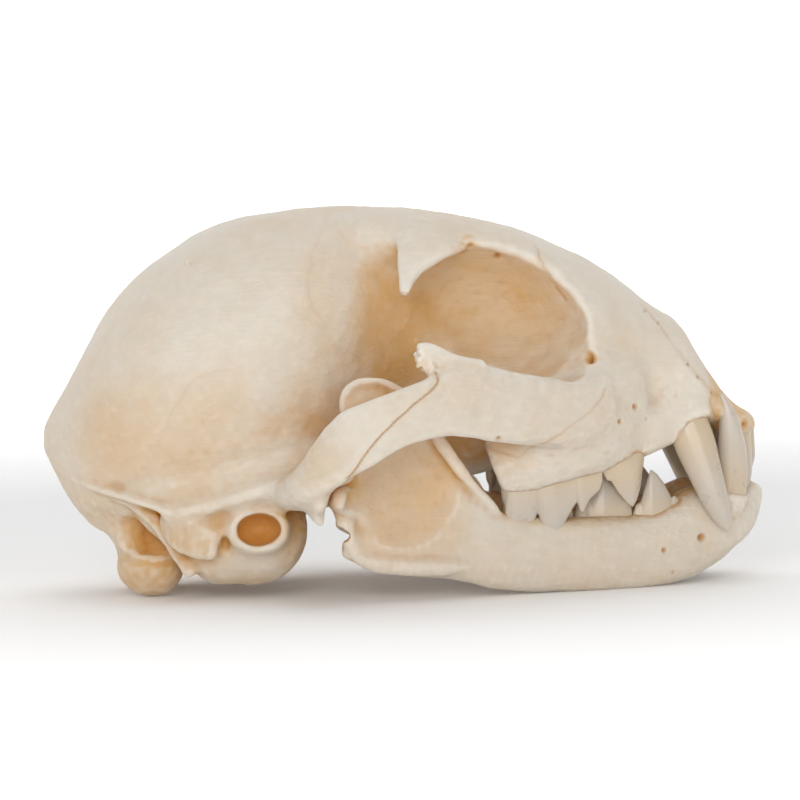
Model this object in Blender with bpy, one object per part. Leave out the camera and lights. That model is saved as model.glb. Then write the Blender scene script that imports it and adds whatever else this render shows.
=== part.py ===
# Lynx skull, closed bite, at life size: cranium, cheek arches, ear capsules, two lower jaws and
# four canine teeth. +X is the snout, +Y the animal's left, +Z up. It rests on the floor at z = 0
# on the lower borders of both jaws and on both occipital condyles.
import bpy
import bmesh
from math import sin, cos, radians, pi
from mathutils import Vector, Matrix, Euler

# Sizes are written in millimetres and turned to metres at the end
MILLIMETRE = 0.001
GAP = 0.3
GRAIN = 0.75
CRANIUM_TRIANGLES = 7300
JAW_TRIANGLES = 1900
BULLA_TRIANGLES = 420

# Driving sizes of the skull
FACE_PLANE = -3.2
BRAIN_HALF_WIDTH = 28.6
ARCH_HALF_WIDTH = 45.3
CONDYLE_OFFSET = 9.5
CONDYLE_RADIUS = 5.6
UPPER_CANINE_OFFSET = 15.0
LOWER_CANINE_OFFSET = 11.3

BONE_COLOUR = (0.78, 0.66, 0.50, 1.0)
ENAMEL_COLOUR = (0.80, 0.76, 0.68, 1.0)


def clear_scene():
    for thing in list(bpy.data.objects):
        bpy.data.objects.remove(thing)


def material(name, colour, roughness):
    made = bpy.data.materials.new(name)
    made.use_nodes = True
    shader = made.node_tree.nodes["Principled BSDF"]
    shader.inputs["Base Color"].default_value = colour
    shader.inputs["Roughness"].default_value = roughness
    shader.inputs["Metallic"].default_value = 0.0
    return made


# Tools that make closed pieces
def object_from(bm, name):
    bmesh.ops.triangulate(bm, faces=bm.faces)
    bmesh.ops.recalc_face_normals(bm, faces=bm.faces)
    mesh = bpy.data.meshes.new(name)
    bm.to_mesh(mesh)
    bm.free()
    made = bpy.data.objects.new(name, mesh)
    bpy.context.collection.objects.link(made)
    return made


def spline(values, t):
    # Smooth curve through evenly spaced values, t from 0 to 1
    last = len(values) - 1
    place = min(max(t, 0.0), 1.0) * last
    i = min(int(place), last - 1)
    f = place - i
    a = values[max(i - 1, 0)]
    b = values[i]
    c = values[i + 1]
    d = values[min(i + 2, last)]
    return 0.5 * (2 * b + (c - a) * f + (2 * a - 5 * b + 4 * c - d) * f * f
                  + (3 * b - a - 3 * c + d) * f ** 3)


def rounded(angle, power):
    c = cos(angle)
    s = sin(angle)
    first = abs(c) ** (2.0 / power) * (1 if c >= 0 else -1)
    second = abs(s) ** (2.0 / power) * (1 if s >= 0 else -1)
    return first, second


def limb(name, stations, power=2.0, around=28, per_span=4, lift=(0, 0, 1), level=False):
    # Skin drawn over oval sections (x, y, z, half size across, half size along the lift axis);
    # level keeps every section flat instead of square to the path
    columns = [[s[k] for s in stations] for k in range(5)]
    spans = per_span * (len(stations) - 1)
    up_axis = Vector(lift).normalized()
    bm = bmesh.new()
    bmesh.ops.create_grid(bm, x_segments=around, y_segments=spans, size=1.0)
    for vert in bm.verts:
        angle = pi * (vert.co.x + 1)
        t = (vert.co.y + 1) / 2
        centre = Vector([spline(columns[k], t) for k in range(3)])
        ahead = Vector([spline(columns[k], min(t + 0.01, 1)) for k in range(3)])
        behind = Vector([spline(columns[k], max(t - 0.01, 0)) for k in range(3)])
        along = (ahead - behind).normalized()
        if level:
            along = Vector((0, 0, 1))
        across = along.cross(up_axis).normalized()
        upward = across.cross(along).normalized()
        c, s = rounded(angle, power)
        wide = max(spline(columns[3], t), 0.05)
        tall = max(spline(columns[4], t), 0.05)
        vert.co = centre + across * (wide * c) + upward * (tall * s)
    bmesh.ops.remove_doubles(bm, verts=bm.verts, dist=0.0005)
    bmesh.ops.holes_fill(bm, edges=bm.edges, sides=0)
    return object_from(bm, name)


def hull(name, stations, power=2.2, around=40, per_span=4):
    # Body along X over sections (x, top z, bottom z, half width, lean): lean widens the top
    columns = [[s[k] for s in stations] for k in range(5)]
    spans = per_span * (len(stations) - 1)
    bm = bmesh.new()
    bmesh.ops.create_grid(bm, x_segments=around, y_segments=spans, size=1.0)
    for vert in bm.verts:
        angle = pi * (vert.co.x + 1)
        t = (vert.co.y + 1) / 2
        x, top, low, wide, lean = [spline(column, t) for column in columns]
        c, s = rounded(angle, power)
        vert.co = (x, wide * (1 + lean * s) * c, (top + low) / 2 + (top - low) / 2 * s)
    bmesh.ops.remove_doubles(bm, verts=bm.verts, dist=0.0005)
    bmesh.ops.holes_fill(bm, edges=bm.edges, sides=0)
    return object_from(bm, name)


def ball(name, centre, radii, turn=(0, 0, 0), detail=3):
    bm = bmesh.new()
    bmesh.ops.create_icosphere(bm, subdivisions=detail, radius=1.0)
    placed = (Matrix.Translation(centre) @ Euler([radians(a) for a in turn]).to_matrix().to_4x4()
              @ Matrix.Diagonal((*radii, 1)))
    bmesh.ops.transform(bm, matrix=placed, verts=bm.verts)
    return object_from(bm, name)


def block(name, centre, size, turn=(0, 0, 0)):
    bm = bmesh.new()
    bmesh.ops.create_cube(bm, size=1.0)
    placed = (Matrix.Translation(centre) @ Euler([radians(a) for a in turn]).to_matrix().to_4x4()
              @ Matrix.Diagonal((*size, 1)))
    bmesh.ops.transform(bm, matrix=placed, verts=bm.verts)
    return object_from(bm, name)


# Tools that join, carve and finish a body
def settle(thing):
    # Replace the mesh by what its modifiers make of it
    shaped = thing.evaluated_get(bpy.context.evaluated_depsgraph_get())
    mesh = bpy.data.meshes.new_from_object(shaped)
    thing.modifiers.clear()
    thing.data = mesh


def combine(body, pieces, kind):
    group = bpy.data.collections.new(kind)
    bpy.context.scene.collection.children.link(group)
    for piece in pieces:
        group.objects.link(piece)
    change = body.modifiers.new(kind, "BOOLEAN")
    change.operation = kind
    change.operand_type = "COLLECTION"
    change.solver = "MANIFOLD"
    change.collection = group
    settle(body)
    for piece in pieces:
        bpy.data.objects.remove(piece)
    bpy.data.collections.remove(group)


def join(name, pieces):
    body = pieces[0]
    combine(body, pieces[1:], "UNION")
    body.name = name
    return body


def carve(body, pieces):
    combine(body, pieces, "DIFFERENCE")


def keep_inside(body, region):
    change = body.modifiers.new("keep", "BOOLEAN")
    change.operation = "INTERSECT"
    change.solver = "MANIFOLD"
    change.object = region
    settle(body)
    bpy.data.objects.remove(region)


def thin_out(body, triangles):
    count = sum(len(face.vertices) - 2 for face in body.data.polygons)
    thin = body.modifiers.new("thin", "DECIMATE")
    thin.ratio = min(1.0, triangles / count)
    thin.use_collapse_triangulate = True
    settle(body)


def blend(body, grain, passes, triangles):
    # Melt the joined pieces into one smooth surface, then thin its faces
    melt = body.modifiers.new("melt", "REMESH")
    melt.mode = "VOXEL"
    melt.voxel_size = grain
    soften = body.modifiers.new("soften", "SMOOTH")
    soften.factor = 0.5
    soften.iterations = passes
    settle(body)
    thin_out(body, triangles)


def largest_part(body):
    bm = bmesh.new()
    bm.from_mesh(body.data)
    left = set(bm.verts)
    groups = []
    while left:
        seed = left.pop()
        group = {seed}
        edge_of = [seed]
        while edge_of:
            vert = edge_of.pop()
            for edge in vert.link_edges:
                other = edge.other_vert(vert)
                if other not in group:
                    group.add(other)
                    left.discard(other)
                    edge_of.append(other)
        groups.append(group)
    biggest = max(groups, key=len)
    spare = [vert for vert in bm.verts if vert not in biggest]
    bmesh.ops.delete(bm, geom=spare, context="VERTS")
    bmesh.ops.triangulate(bm, faces=bm.faces)
    bm.to_mesh(body.data)
    bm.free()


def grown(thing, amount, grain):
    # A copy swollen on all sides, used to keep the gap between two bodies
    made = copy_of(thing, "grown")
    swell = made.modifiers.new("swell", "DISPLACE")
    swell.mid_level = 0.0
    swell.strength = amount
    melt = made.modifiers.new("melt", "REMESH")
    melt.mode = "VOXEL"
    melt.voxel_size = grain
    settle(made)
    thin_out(made, 1600)
    return made


def copy_of(thing, name):
    made = bpy.data.objects.new(name, thing.data.copy())
    bpy.context.collection.objects.link(made)
    return made


def sided(stations, side):
    return [(s[0], s[1] * side, *s[2:]) for s in stations]


# Cranium pieces
def brain_hull():
    return hull("brain_hull", [
        (-66.4, 31.0, 26.5, 5.0, 0), (-64.6, 34.5, 21.0, 10.0, 0), (-61.5, 39.5, 16.0, 14.5, 0),
        (-58.0, 46.0, 13.0, 18.5, 0), (-52.0, 55.2, 11.5, 23.5, 0), (-44.0, 62.2, 10.5, 27.0, 0),
        (-34.0, 67.8, 10.5, BRAIN_HALF_WIDTH, 0), (-24.0, 70.0, 12.0, BRAIN_HALF_WIDTH, 0),
        (-15.0, 70.9, 14.5, 26.6, 0), (-8.0, 71.0, 17.5, 22.6, 0.02), (-2.0, 70.5, 20.0, 18.0, 0.06),
        (5.0, 69.6, 22.0, 14.0, 0.1), (11.0, 68.6, 24.0, 11.0, 0.1)], power=2.15)


def orbit_core():
    return hull("orbit_core", [
        (-12.0, 68.5, 22.0, 12.0, 0.1), (-3.0, 69.8, 20.5, 14.2, 0.2), (7.0, 69.3, 20.5, 15.6, 0.25),
        (17.0, 67.2, 21.5, 17.0, 0.25), (26.0, 63.5, 22.0, 18.0, 0.2), (33.0, 60.0, 23.0, 17.0, 0.1)],
        power=2.3)


def frontal_roof():
    return hull("frontal_roof", [
        (-16.0, 70.0, 62.0, 10.0, 0), (-8.0, 70.7, 59.0, 16.5, 0), (0.0, 70.4, 57.0, 19.4, 0),
        (6.5, 69.6, 57.5, 19.8, 0),
        (13.0, 68.4, 57.5, 18.6, 0), (20.0, 66.7, 55.0, 18.2, 0), (27.0, 64.1, 50.0, 18.0, 0),
        (33.0, 61.0, 46.0, 16.5, 0)], power=2.3)


def snout():
    return hull("snout", [
        (17.0, 64.0, 26.0, 15.0, -0.1), (24.0, 64.8, 20.8, 23.5, -0.1), (30.0, 62.7, 20.6, 24.2, -0.1),
        (36.0, 59.7, 21.6, 21.6, -0.1), (41.0, 56.2, 23.2, 18.0, -0.1), (47.0, 51.3, 25.2, 16.6, -0.08),
        (52.0, 47.8, 27.4, 17.0, -0.08), (56.0, 41.0, 28.6, 16.2, -0.1), (60.0, 35.0, 28.0, 13.6, -0.1),
        (64.0, 31.2, 26.5, 10.0, -0.1), (66.0, 28.6, 26.6, 7.0, 0)], power=2.3)


def cheek_base(side):
    # Bone that holds the cheek teeth and reaches up to the front of the cheek arch
    return limb("cheek_base", sided([
        (15.6, 24.5, 23.5, 2.4, 4.6), (18.5, 24.8, 24.5, 3.2, 6.4), (25.0, 23.6, 27.0, 4.6, 7.6),
        (31.0, 21.4, 30.0, 5.8, 9.6), (36.5, 18.0, 32.5, 6.0, 10.5), (42.0, 14.5, 33.0, 5.0, 10.0)],
        side), power=2.6)


def brow_horn(side):
    return limb("brow_horn", sided([
        (9.5, 14.5, 64.5, 3.4, 3.6), (5.4, 19.4, 62.8, 3.2, 3.0), (2.0, 23.4, 60.0, 2.8, 2.3),
        (0.0, 26.2, 57.4, 2.1, 1.7), (-1.0, 27.6, 55.0, 1.0, 1.1)], side))


def cheek_arch(side):
    w = ARCH_HALF_WIDTH
    return limb("cheek_arch", sided([
        (-21.0, 27.0, 19.6, 4.4, 3.0), (-19.6, 33.0, 20.4, 4.0, 3.2), (-17.8, 38.4, 22.0, 3.2, 3.6),
        (-14.4, w - 2.4, 26.0, 2.2, 4.6), (-10.0, w - 0.4, 29.7, 2.0, 5.5),
        (-5.4, w, 32.1, 1.9, 5.3), (-1.0, w - 1.0, 33.8, 1.9, 5.1), (4.0, w - 2.8, 35.0, 2.0, 5.4),
        (8.0, w - 4.6, 36.0, 2.1, 6.3), (12.0, w - 6.8, 36.0, 2.2, 6.8),
        (17.0, w - 10.0, 34.8, 2.6, 6.6), (23.0, w - 14.2, 33.8, 3.4, 6.4),
        (29.0, w - 18.6, 33.0, 4.6, 6.5), (35.0, w - 24.0, 33.5, 5.0, 7.2)], side),
        around=24, power=2.4)


def cheek_horn(side):
    return limb("cheek_horn", sided([
        (9.6, 39.6, 39.5, 1.6, 4.6), (6.0, 40.6, 43.0, 1.4, 3.4), (3.0, 41.4, 45.4, 1.2, 2.2),
        (1.6, 41.9, 46.4, 0.9, 1.0)], side), lift=(1, 0, 1))


def joint_shelf(side):
    # Cross plate over the jaw joint, with the hook behind it
    return [
        limb("joint_shelf", sided([
            (-17.0, 22.0, 21.5, 6.4, 3.2), (-15.4, 28.0, 22.6, 6.0, 2.4),
            (-14.4, 36.0, 23.4, 5.0, 2.2), (-14.2, 43.0, 24.0, 3.0, 2.2)], side)),
        limb("joint_hook", sided([
            (-17.4, 25.0, 18.4, 1.5, 2.8), (-17.4, 31.0, 18.4, 1.5, 2.8),
            (-17.2, 37.0, 18.6, 1.5, 2.8), (-16.8, 42.0, 19.4, 1.4, 2.6)], side)),
    ]


def ear_ridge(side):
    return limb("ear_ridge", sided([
        (-44.0, 24.4, 17.0, 1.6, 1.8), (-38.0, 26.8, 17.4, 2.4, 2.0), (-31.0, 28.0, 18.4, 2.8, 2.0),
        (-25.0, 29.0, 19.4, 3.0, 2.2), (-19.0, 32.0, 20.4, 3.4, 2.4)], side))


def neck_crest(side):
    return limb("neck_crest", sided([
        (-65.2, -1.0, 29.0, 1.9, 2.2), (-64.2, 6.0, 26.4, 1.8, 1.9), (-60.2, 12.6, 22.8, 1.7, 1.7),
        (-55.0, 18.2, 20.8, 1.7, 1.6), (-49.0, 22.6, 19.2, 1.8, 1.6), (-43.0, 25.6, 16.6, 2.0, 1.9),
        (-37.6, 27.0, 13.4, 2.4, 2.4)], side))


def mastoid(side):
    return limb("mastoid", sided([
        (-43.0, 21.5, 15.0, 2.2, 3.0), (-39.0, 25.0, 13.4, 2.2, 3.6), (-36.0, 26.4, 12.0, 2.0, 3.4),
        (-34.2, 26.8, 11.0, 1.6, 2.4)], side))


def ear_spike(side):
    return limb("ear_spike", sided([
        (-45.6, 15.0, 14.5, 2.6, 2.2), (-43.0, 18.4, 10.6, 2.1, 1.6), (-41.2, 19.3, 7.0, 1.8, 1.3),
        (-39.8, 19.8, 3.8, 1.2, 0.9)], side), lift=(0, 1, 0.3))


def neck_condyle(side):
    return ball("neck_condyle", (-46.2, CONDYLE_OFFSET * side, 5.2), (7.0, 5.0, CONDYLE_RADIUS),
                (0, 32, 12 * side))


def condyle_stem(side):
    return limb("condyle_stem", sided([
        (-55.0, 7.5, 12.5, 3.4, 3.6), (-50.0, 9.4, 10.2, 4.2, 4.4), (-44.0, 10.0, 9.4, 4.4, 4.6),
        (-38.0, 9.0, 12.0, 4.0, 4.0)], side))


def palate_wing(side):
    # Wall beside the inner nostril, with its hook at the rear
    return limb("palate_wing", sided([
        (-14.0, 8.8, 17.4, 1.4, 2.6), (-9.0, 8.8, 20.0, 1.4, 4.2), (-2.0, 8.8, 24.0, 1.6, 4.8),
        (5.0, 9.0, 25.8, 2.4, 4.8), (11.5, 9.4, 26.0, 4.2, 5.3), (18.0, 10.5, 27.5, 5.0, 5.0)], side))


def incisor_bar():
    return limb("incisor_bar", [
        (60.0, -10.5, 29.4, 3.0, 2.6), (63.4, -7.4, 29.0, 2.6, 2.6), (64.6, 0.0, 28.6, 2.6, 2.6),
        (63.4, 7.4, 29.0, 2.6, 2.6), (60.0, 10.5, 29.4, 3.0, 2.6)])


# Teeth that stay with the bone
def cusp(foot, tip, along, across, crown=0.55):
    # Flattened cone: foot and tip as (x, y, z), half sizes along the jaw and across it
    foot = Vector(foot)
    tip = Vector(tip)
    stations = []
    for t, size in ((0.0, 1.0), (0.35, 0.92), (0.7, crown), (1.0, 0.12)):
        at = foot.lerp(tip, t)
        stations.append((at.x, at.y, at.z, along * size, across * size))
    return limb("cusp", stations, around=14, per_span=3, lift=(0.05, 1, 0))


def upper_cheek_teeth(side):
    places = [
        ((40.6, 17.4, 26.0), (41.7, 18.6, 14.6), 3.3, 2.2),
        ((37.4, 18.4, 25.0), (37.2, 19.2, 18.6), 1.8, 1.7),
        ((43.2, 17.0, 26.0), (43.6, 17.6, 21.4), 1.2, 1.4),
        ((33.6, 21.0, 24.5), (32.4, 22.2, 16.2), 2.3, 1.9),
        ((28.0, 23.2, 24.0), (27.2, 24.6, 11.5), 4.2, 2.3),
        ((22.6, 24.8, 23.0), (20.3, 26.0, 12.4), 4.0, 2.0),
        ((17.8, 23.6, 22.5), (17.6, 24.2, 16.0), 1.5, 1.9),
    ]
    return [cusp((f[0], f[1] * side, f[2]), (t[0], t[1] * side, t[2]), a, b, 0.62)
            for f, t, a, b in places]


def incisors(side, rows):
    # rows of (offset from the middle, x, foot z, tip z, half width)
    return [cusp((x - 0.6, off * side, foot), (x, (off + 0.2) * side, tip), 1.5, wide, 0.8)
            for off, x, foot, tip, wide in rows]


def upper_incisors(side):
    return incisors(side, ((1.5, 66.0, 28.5, 21.5, 1.25), (4.3, 65.6, 28.5, 21.0, 1.4),
                           (7.7, 64.4, 29.5, 18.8, 1.9)))


def lower_incisors(side):
    return incisors(side, ((1.45, 63.6, 14.5, 20.6, 1.1), (3.9, 63.4, 14.5, 20.9, 1.2),
                           (6.4, 62.9, 14.5, 21.0, 1.3)))


def lower_cheek_teeth(side):
    places = [
        ((46.2, 14.6, 10.0), (45.2, 15.0, 21.8), 3.6, 2.0),
        ((49.4, 13.8, 12.0), (49.8, 13.8, 17.2), 1.3, 1.4),
        ((42.4, 15.8, 10.0), (41.8, 15.9, 16.0), 1.6, 1.6),
        ((36.6, 16.4, 9.0), (36.0, 16.2, 22.0), 4.0, 2.0),
        ((32.6, 17.6, 9.0), (32.0, 17.6, 17.0), 1.8, 1.7),
        ((27.4, 18.8, 9.5), (27.2, 18.4, 20.0), 3.4, 1.8),
        ((22.4, 20.2, 9.5), (21.2, 19.8, 20.4), 3.4, 1.8),
    ]
    return [cusp((f[0], f[1] * side, f[2]), (t[0], t[1] * side, t[2]), a, b, 0.6)
            for f, t, a, b in places]


# Hollows
def orbit_hollow(side):
    return [
        ball("orbit_hollow", (16.2, 25.0 * side, 50.8), (18.6, 12.6, 12.6), (0, 12, 0)),
    ]


def nose_hollow():
    return ball("nose_hollow", (57.6, 0, 41.8), (15.0, 8.0, 8.2), (0, -35, 0))


def inner_nostril():
    return limb("inner_nostril", [
        (-22.0, 0, 10.0, 5.0, 4.0), (-10.0, 0, 15.5, 5.6, 6.0), (2.0, 0, 19.0, 5.8, 7.0),
        (12.0, 0, 21.0, 6.0, 6.0), (17.0, 0, 22.0, 3.0, 3.0)])


def palate_hollow():
    return ball("palate_hollow", (38.0, 0, 19.5), (25.0, 14.0, 6.4), (0, -7, 0))


def neck_opening():
    return limb("neck_opening", [
        (-68.0, 0, 8.5, 6.8, 5.6), (-58.0, 0, 11.5, 7.0, 5.6), (-48.0, 0, 14.0, 6.6, 5.4),
        (-38.0, 0, 18.0, 5.0, 4.6)])


def ear_hole(side):
    return ball("ear_hole", (-26.8, 27.0 * side, 13.4), (4.0, 9.0, 3.0), (0, 0, 0))


def canine_boss(side):
    return ball("canine_boss", (51.6, 12.4 * side, 34.5), (5.0, 4.9, 8.5), (0, 18, 0))


def cheek_tunnel(side):
    # Nerve and vessel opening below the front of the orbit
    return limb("cheek_tunnel", sided([
        (46.0, 16.0, 32.6, 2.2, 1.6), (40.0, 19.0, 34.6, 2.0, 1.8), (36.0, 20.6, 36.4, 1.8, 1.8)],
        side), around=14, per_span=3)


def make_cranium():
    pieces = [brain_hull(), orbit_core(), frontal_roof(), snout(), incisor_bar()]
    body = join("cranium", pieces)
    hollows = []
    for side in (-1, 1):
        hollows += orbit_hollow(side)
    carve(body, hollows)
    more = [body]
    for side in (-1, 1):
        more += [cheek_base(side), brow_horn(side), cheek_arch(side), cheek_horn(side)]
        more += [ear_ridge(side), neck_crest(side), mastoid(side), ear_spike(side)]
        more += [neck_condyle(side), condyle_stem(side), palate_wing(side), canine_boss(side)]
        more += joint_shelf(side)
    body = join("cranium", more)
    carve(body, [nose_hollow(), inner_nostril(), palate_hollow(), neck_opening(),
                 cheek_tunnel(-1), cheek_tunnel(1)])
    teeth = [body]
    for side in (-1, 1):
        teeth += upper_cheek_teeth(side) + upper_incisors(side)
    return join("cranium", teeth)


# Ear capsules
def bulla_shape(side, grow=0.0):
    return [
        ball("bulla", (-28.6, 17.2 * side, 12.0),
             (11.2 + grow, 8.8 + grow, 9.4 + grow), (0, 8, 18 * side)),
        limb("bulla_collar", sided([
            (-27.0, 20.0, 13.4, 6.4 + grow, 5.4 + grow), (-26.9, 25.0, 13.4, 5.8 + grow, 4.9 + grow),
            (-26.8, 28.2 + grow, 13.4, 5.0 + grow, 4.0 + grow)], side)),
    ]


# Lower jaws
def jaw_body(side):
    return limb("jaw_body", sided([
        (64.8, 3.6, 17.6, 3.0, 1.6), (63.2, 4.6, 15.2, 4.6, 3.2), (60.0, 6.4, 11.9, 6.8, 4.9),
        (55.8, 8.4, 9.6, 6.6, 6.2), (50.5, 11.4, 7.9, 4.9, 7.2), (43.5, 14.8, 6.4, 4.1, 6.6),
        (34.5, 18.4, 6.6, 3.9, 6.8), (25.0, 21.4, 7.0, 3.8, 6.9), (16.5, 24.0, 8.2, 3.5, 7.0),
        (9.0, 26.4, 9.6, 2.9, 6.6), (1.0, 28.6, 9.6, 2.4, 5.4), (-7.0, 30.4, 9.6, 2.2, 3.6),
        (-12.0, 31.2, 10.0, 1.5, 1.8)], side), power=2.3)


def jaw_chin(side):
    return limb("jaw_chin", sided([
        (64.6, 2.0, 17.4, 2.6, 1.4), (62.2, 2.6, 13.2, 3.2, 3.8), (57.6, 3.2, 9.6, 4.4, 5.4),
        (52.0, 4.4, 7.6, 5.0, 5.0), (47.0, 7.0, 6.6, 4.0, 4.0)], side), power=2.3)


def jaw_ramus(side):
    return limb("jaw_ramus", sided([
        (5.0, 26.9, 6.0, 9.5, 1.9), (2.6, 27.7, 10.0, 12.6, 2.0), (1.0, 28.8, 16.0, 13.0, 1.8),
        (-0.2, 30.0, 22.0, 12.0, 1.6), (-2.2, 31.2, 28.0, 8.8, 1.4), (-4.2, 32.2, 34.0, 7.4, 1.3),
        (-6.2, 33.0, 38.2, 5.0, 1.2), (-6.4, 33.2, 40.2, 2.2, 0.9)], side), lift=(0.21 * side, 1, 0),
        power=2.3, level=True)


def jaw_condyle(side, grow=0.0):
    return limb("jaw_condyle", sided([
        (-12.2, 24.6 - grow, 18.6, 1.6 + grow, 1.8 + grow), (-12.3, 27.6, 18.8, 2.4 + grow, 2.7 + grow),
        (-12.2, 33.0, 19.0, 2.5 + grow, 2.8 + grow), (-12.1, 38.0, 19.0, 2.3 + grow, 2.6 + grow),
        (-12.0, 40.8 + grow, 19.0, 1.5 + grow, 1.7 + grow)], side), around=20)


def jaw_neck(side):
    return limb("jaw_neck", sided([
        (-12.0, 32.0, 18.0, 4.6, 2.2), (-8.0, 31.6, 18.0, 3.6, 2.6), (-2.0, 31.0, 18.0, 1.4, 2.2)],
        side))


def chewing_hollow(side):
    return ball("chewing_hollow", (0.5, 34.3 * side, 18.0), (13.5, 4.6, 10.0), (0, -20, -12 * side))


def make_jaw(side):
    body = join("jaw", [jaw_body(side), jaw_chin(side), jaw_ramus(side), jaw_condyle(side),
                        jaw_neck(side)])
    carve(body, [chewing_hollow(side)])
    return join("jaw", [body] + lower_cheek_teeth(side) + lower_incisors(side))


# Canine teeth
def upper_canine(side, grow=0.0):
    o = UPPER_CANINE_OFFSET
    return limb("canine", sided([
        (49.6, o - 2.4, 38.0, 1.6 + grow, 1.5 + grow), (51.4, o - 1.2, 33.0, 3.0 + grow, 2.4 + grow),
        (53.2, o, 27.0, 3.6 + grow, 2.8 + grow), (55.0, o + 0.6, 21.6, 2.9 + grow, 2.4 + grow),
        (56.9, o + 1.0, 15.8, 1.75 + grow, 1.6 + grow), (59.0, o + 1.2, 10.3, 0.35 + grow, 0.35 + grow)],
        side), around=14, per_span=3, lift=(0, 1, 0))


def lower_canine(side, grow=0.0):
    o = LOWER_CANINE_OFFSET
    return limb("canine", sided([
        (57.6, o - 2.4, 6.0, 1.5 + grow, 1.4 + grow), (59.6, o - 1.2, 11.5, 2.5 + grow, 2.2 + grow),
        (60.8, o, 17.0, 2.55 + grow, 2.3 + grow), (61.0, o + 1.2, 24.0, 2.2 + grow, 2.0 + grow),
        (60.2, o + 2.0, 30.0, 1.5 + grow, 1.4 + grow), (58.6, o + 2.4, 35.4, 0.35 + grow, 0.35 + grow)],
        side), around=14, per_span=3, lift=(0, 1, 0))


def floor_cut():
    return block("floor_cut", (0, 0, -10.0), (200, 160, 20.0))


# Nodes cut from the whole
def arch_region(side, grow=0.0):
    # Room of the cheek arch: a rear box and a turned front box
    rear = block("rear_room", (-13.0, (50.0 - grow) * side, 30.0), (34.0 + 2 * grow, 28.0, 36.0 + 2 * grow))
    front = block("front_room", (6.0, 47.6 * side, 42.5), (44.0 + 2 * grow, 24.0 + 2 * grow, 30.0 + 2 * grow),
                  (0, 0, -33 * side))
    return join("room", [rear, front])


def finish(body, name, paint):
    largest_part(body)
    body.data.transform(Matrix.Scale(MILLIMETRE, 4))
    body.name = name
    body.data.name = name
    body.data.materials.clear()
    body.data.materials.append(paint)
    for face in body.data.polygons:
        face.material_index = 0
        face.use_smooth = False


def build():
    clear_scene()
    whole = make_cranium()
    blend(whole, GRAIN, 3, CRANIUM_TRIANGLES)
    carve(whole, [floor_cut()])
    names = {-1: "right", 1: "left"}
    made = []
    for side in (-1, 1):
        jaw = make_jaw(side)
        blend(jaw, 0.6, 2, JAW_TRIANGLES)
        carve(whole, [grown(jaw, GAP + 0.1, 0.6)])
        carve(jaw, [floor_cut(), block("middle", (50, -10 * side, 10), (80, 20.0 + GAP, 60))])
        carve(jaw, [lower_canine(side, GAP)])
        carve(whole, [upper_canine(side, GAP)])
        carve(whole, [lower_canine(side, GAP + 0.1)])
        carve(jaw, [upper_canine(side, GAP)])
        bulla = join("bulla", bulla_shape(side))
        carve(bulla, [ear_hole(side)])
        blend(bulla, 0.6, 2, BULLA_TRIANGLES)
        for piece in bulla_shape(side, GAP):
            carve(whole, [piece])
        carve(bulla, [floor_cut()])
        made.append((bulla, "auditory_bulla_" + names[side]))
        made.append((jaw, "mandible_" + names[side]))
        arch = copy_of(whole, "arch")
        keep_inside(arch, arch_region(side))
        carve(whole, [arch_region(side, GAP)])
        made.append((arch, "zygomatic_arch_" + names[side]))
    face = copy_of(whole, "face")
    keep_inside(face, block("front_half", (50 + FACE_PLANE + GAP / 2, 0, 40), (100, 140, 100)))
    keep_inside(whole, block("rear_half", (-50 + FACE_PLANE - GAP / 2, 0, 40), (100, 140, 100)))
    made.append((whole, "braincase"))
    made.append((face, "face"))
    bone = material("bone", BONE_COLOUR, 0.55)
    enamel = material("enamel", ENAMEL_COLOUR, 0.3)
    for body, name in made:
        finish(body, name, bone)
    for side in (-1, 1):
        finish(upper_canine(side), "upper_canine_" + names[side], enamel)
        finish(lower_canine(side), "lower_canine_" + names[side], enamel)
    for thing in bpy.data.objects:
        thing.select_set(False)


build()
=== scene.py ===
from math import cos, pi, radians, sin

import bmesh
import bpy
import numpy as np
from bpy.props import FloatProperty, FloatVectorProperty, PointerProperty
from mathutils import Euler, Matrix, Vector
from mathutils.bvhtree import BVHTree
from mathutils.kdtree import KDTree


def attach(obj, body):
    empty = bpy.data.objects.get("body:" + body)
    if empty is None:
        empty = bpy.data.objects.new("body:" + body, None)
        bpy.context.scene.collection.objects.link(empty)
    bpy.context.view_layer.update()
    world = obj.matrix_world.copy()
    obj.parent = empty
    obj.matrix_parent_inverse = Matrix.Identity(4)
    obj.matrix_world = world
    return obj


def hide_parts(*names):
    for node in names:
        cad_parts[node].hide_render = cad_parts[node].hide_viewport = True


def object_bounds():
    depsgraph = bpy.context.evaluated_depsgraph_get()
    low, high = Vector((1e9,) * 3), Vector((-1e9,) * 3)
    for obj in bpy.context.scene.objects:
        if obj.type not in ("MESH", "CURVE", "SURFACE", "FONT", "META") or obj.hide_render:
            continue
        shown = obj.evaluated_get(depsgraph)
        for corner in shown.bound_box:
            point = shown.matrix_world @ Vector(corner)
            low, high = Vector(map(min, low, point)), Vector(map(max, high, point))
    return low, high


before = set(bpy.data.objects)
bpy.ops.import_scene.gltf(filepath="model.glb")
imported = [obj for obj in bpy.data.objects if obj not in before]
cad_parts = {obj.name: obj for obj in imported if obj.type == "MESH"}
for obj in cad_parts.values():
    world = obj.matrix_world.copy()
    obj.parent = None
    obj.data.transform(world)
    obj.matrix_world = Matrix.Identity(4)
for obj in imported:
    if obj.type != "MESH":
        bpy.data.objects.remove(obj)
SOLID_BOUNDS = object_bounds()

bl_info = {
    "name": "Lynx Skull",
    "version": (1, 0, 0),
    "blender": (4, 5, 0),
    "location": "3D View > Sidebar > Skull",
    "description": "Builds the bones and teeth of a lynx skull round its packed solids",
    "category": "Add Mesh",
}

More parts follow.
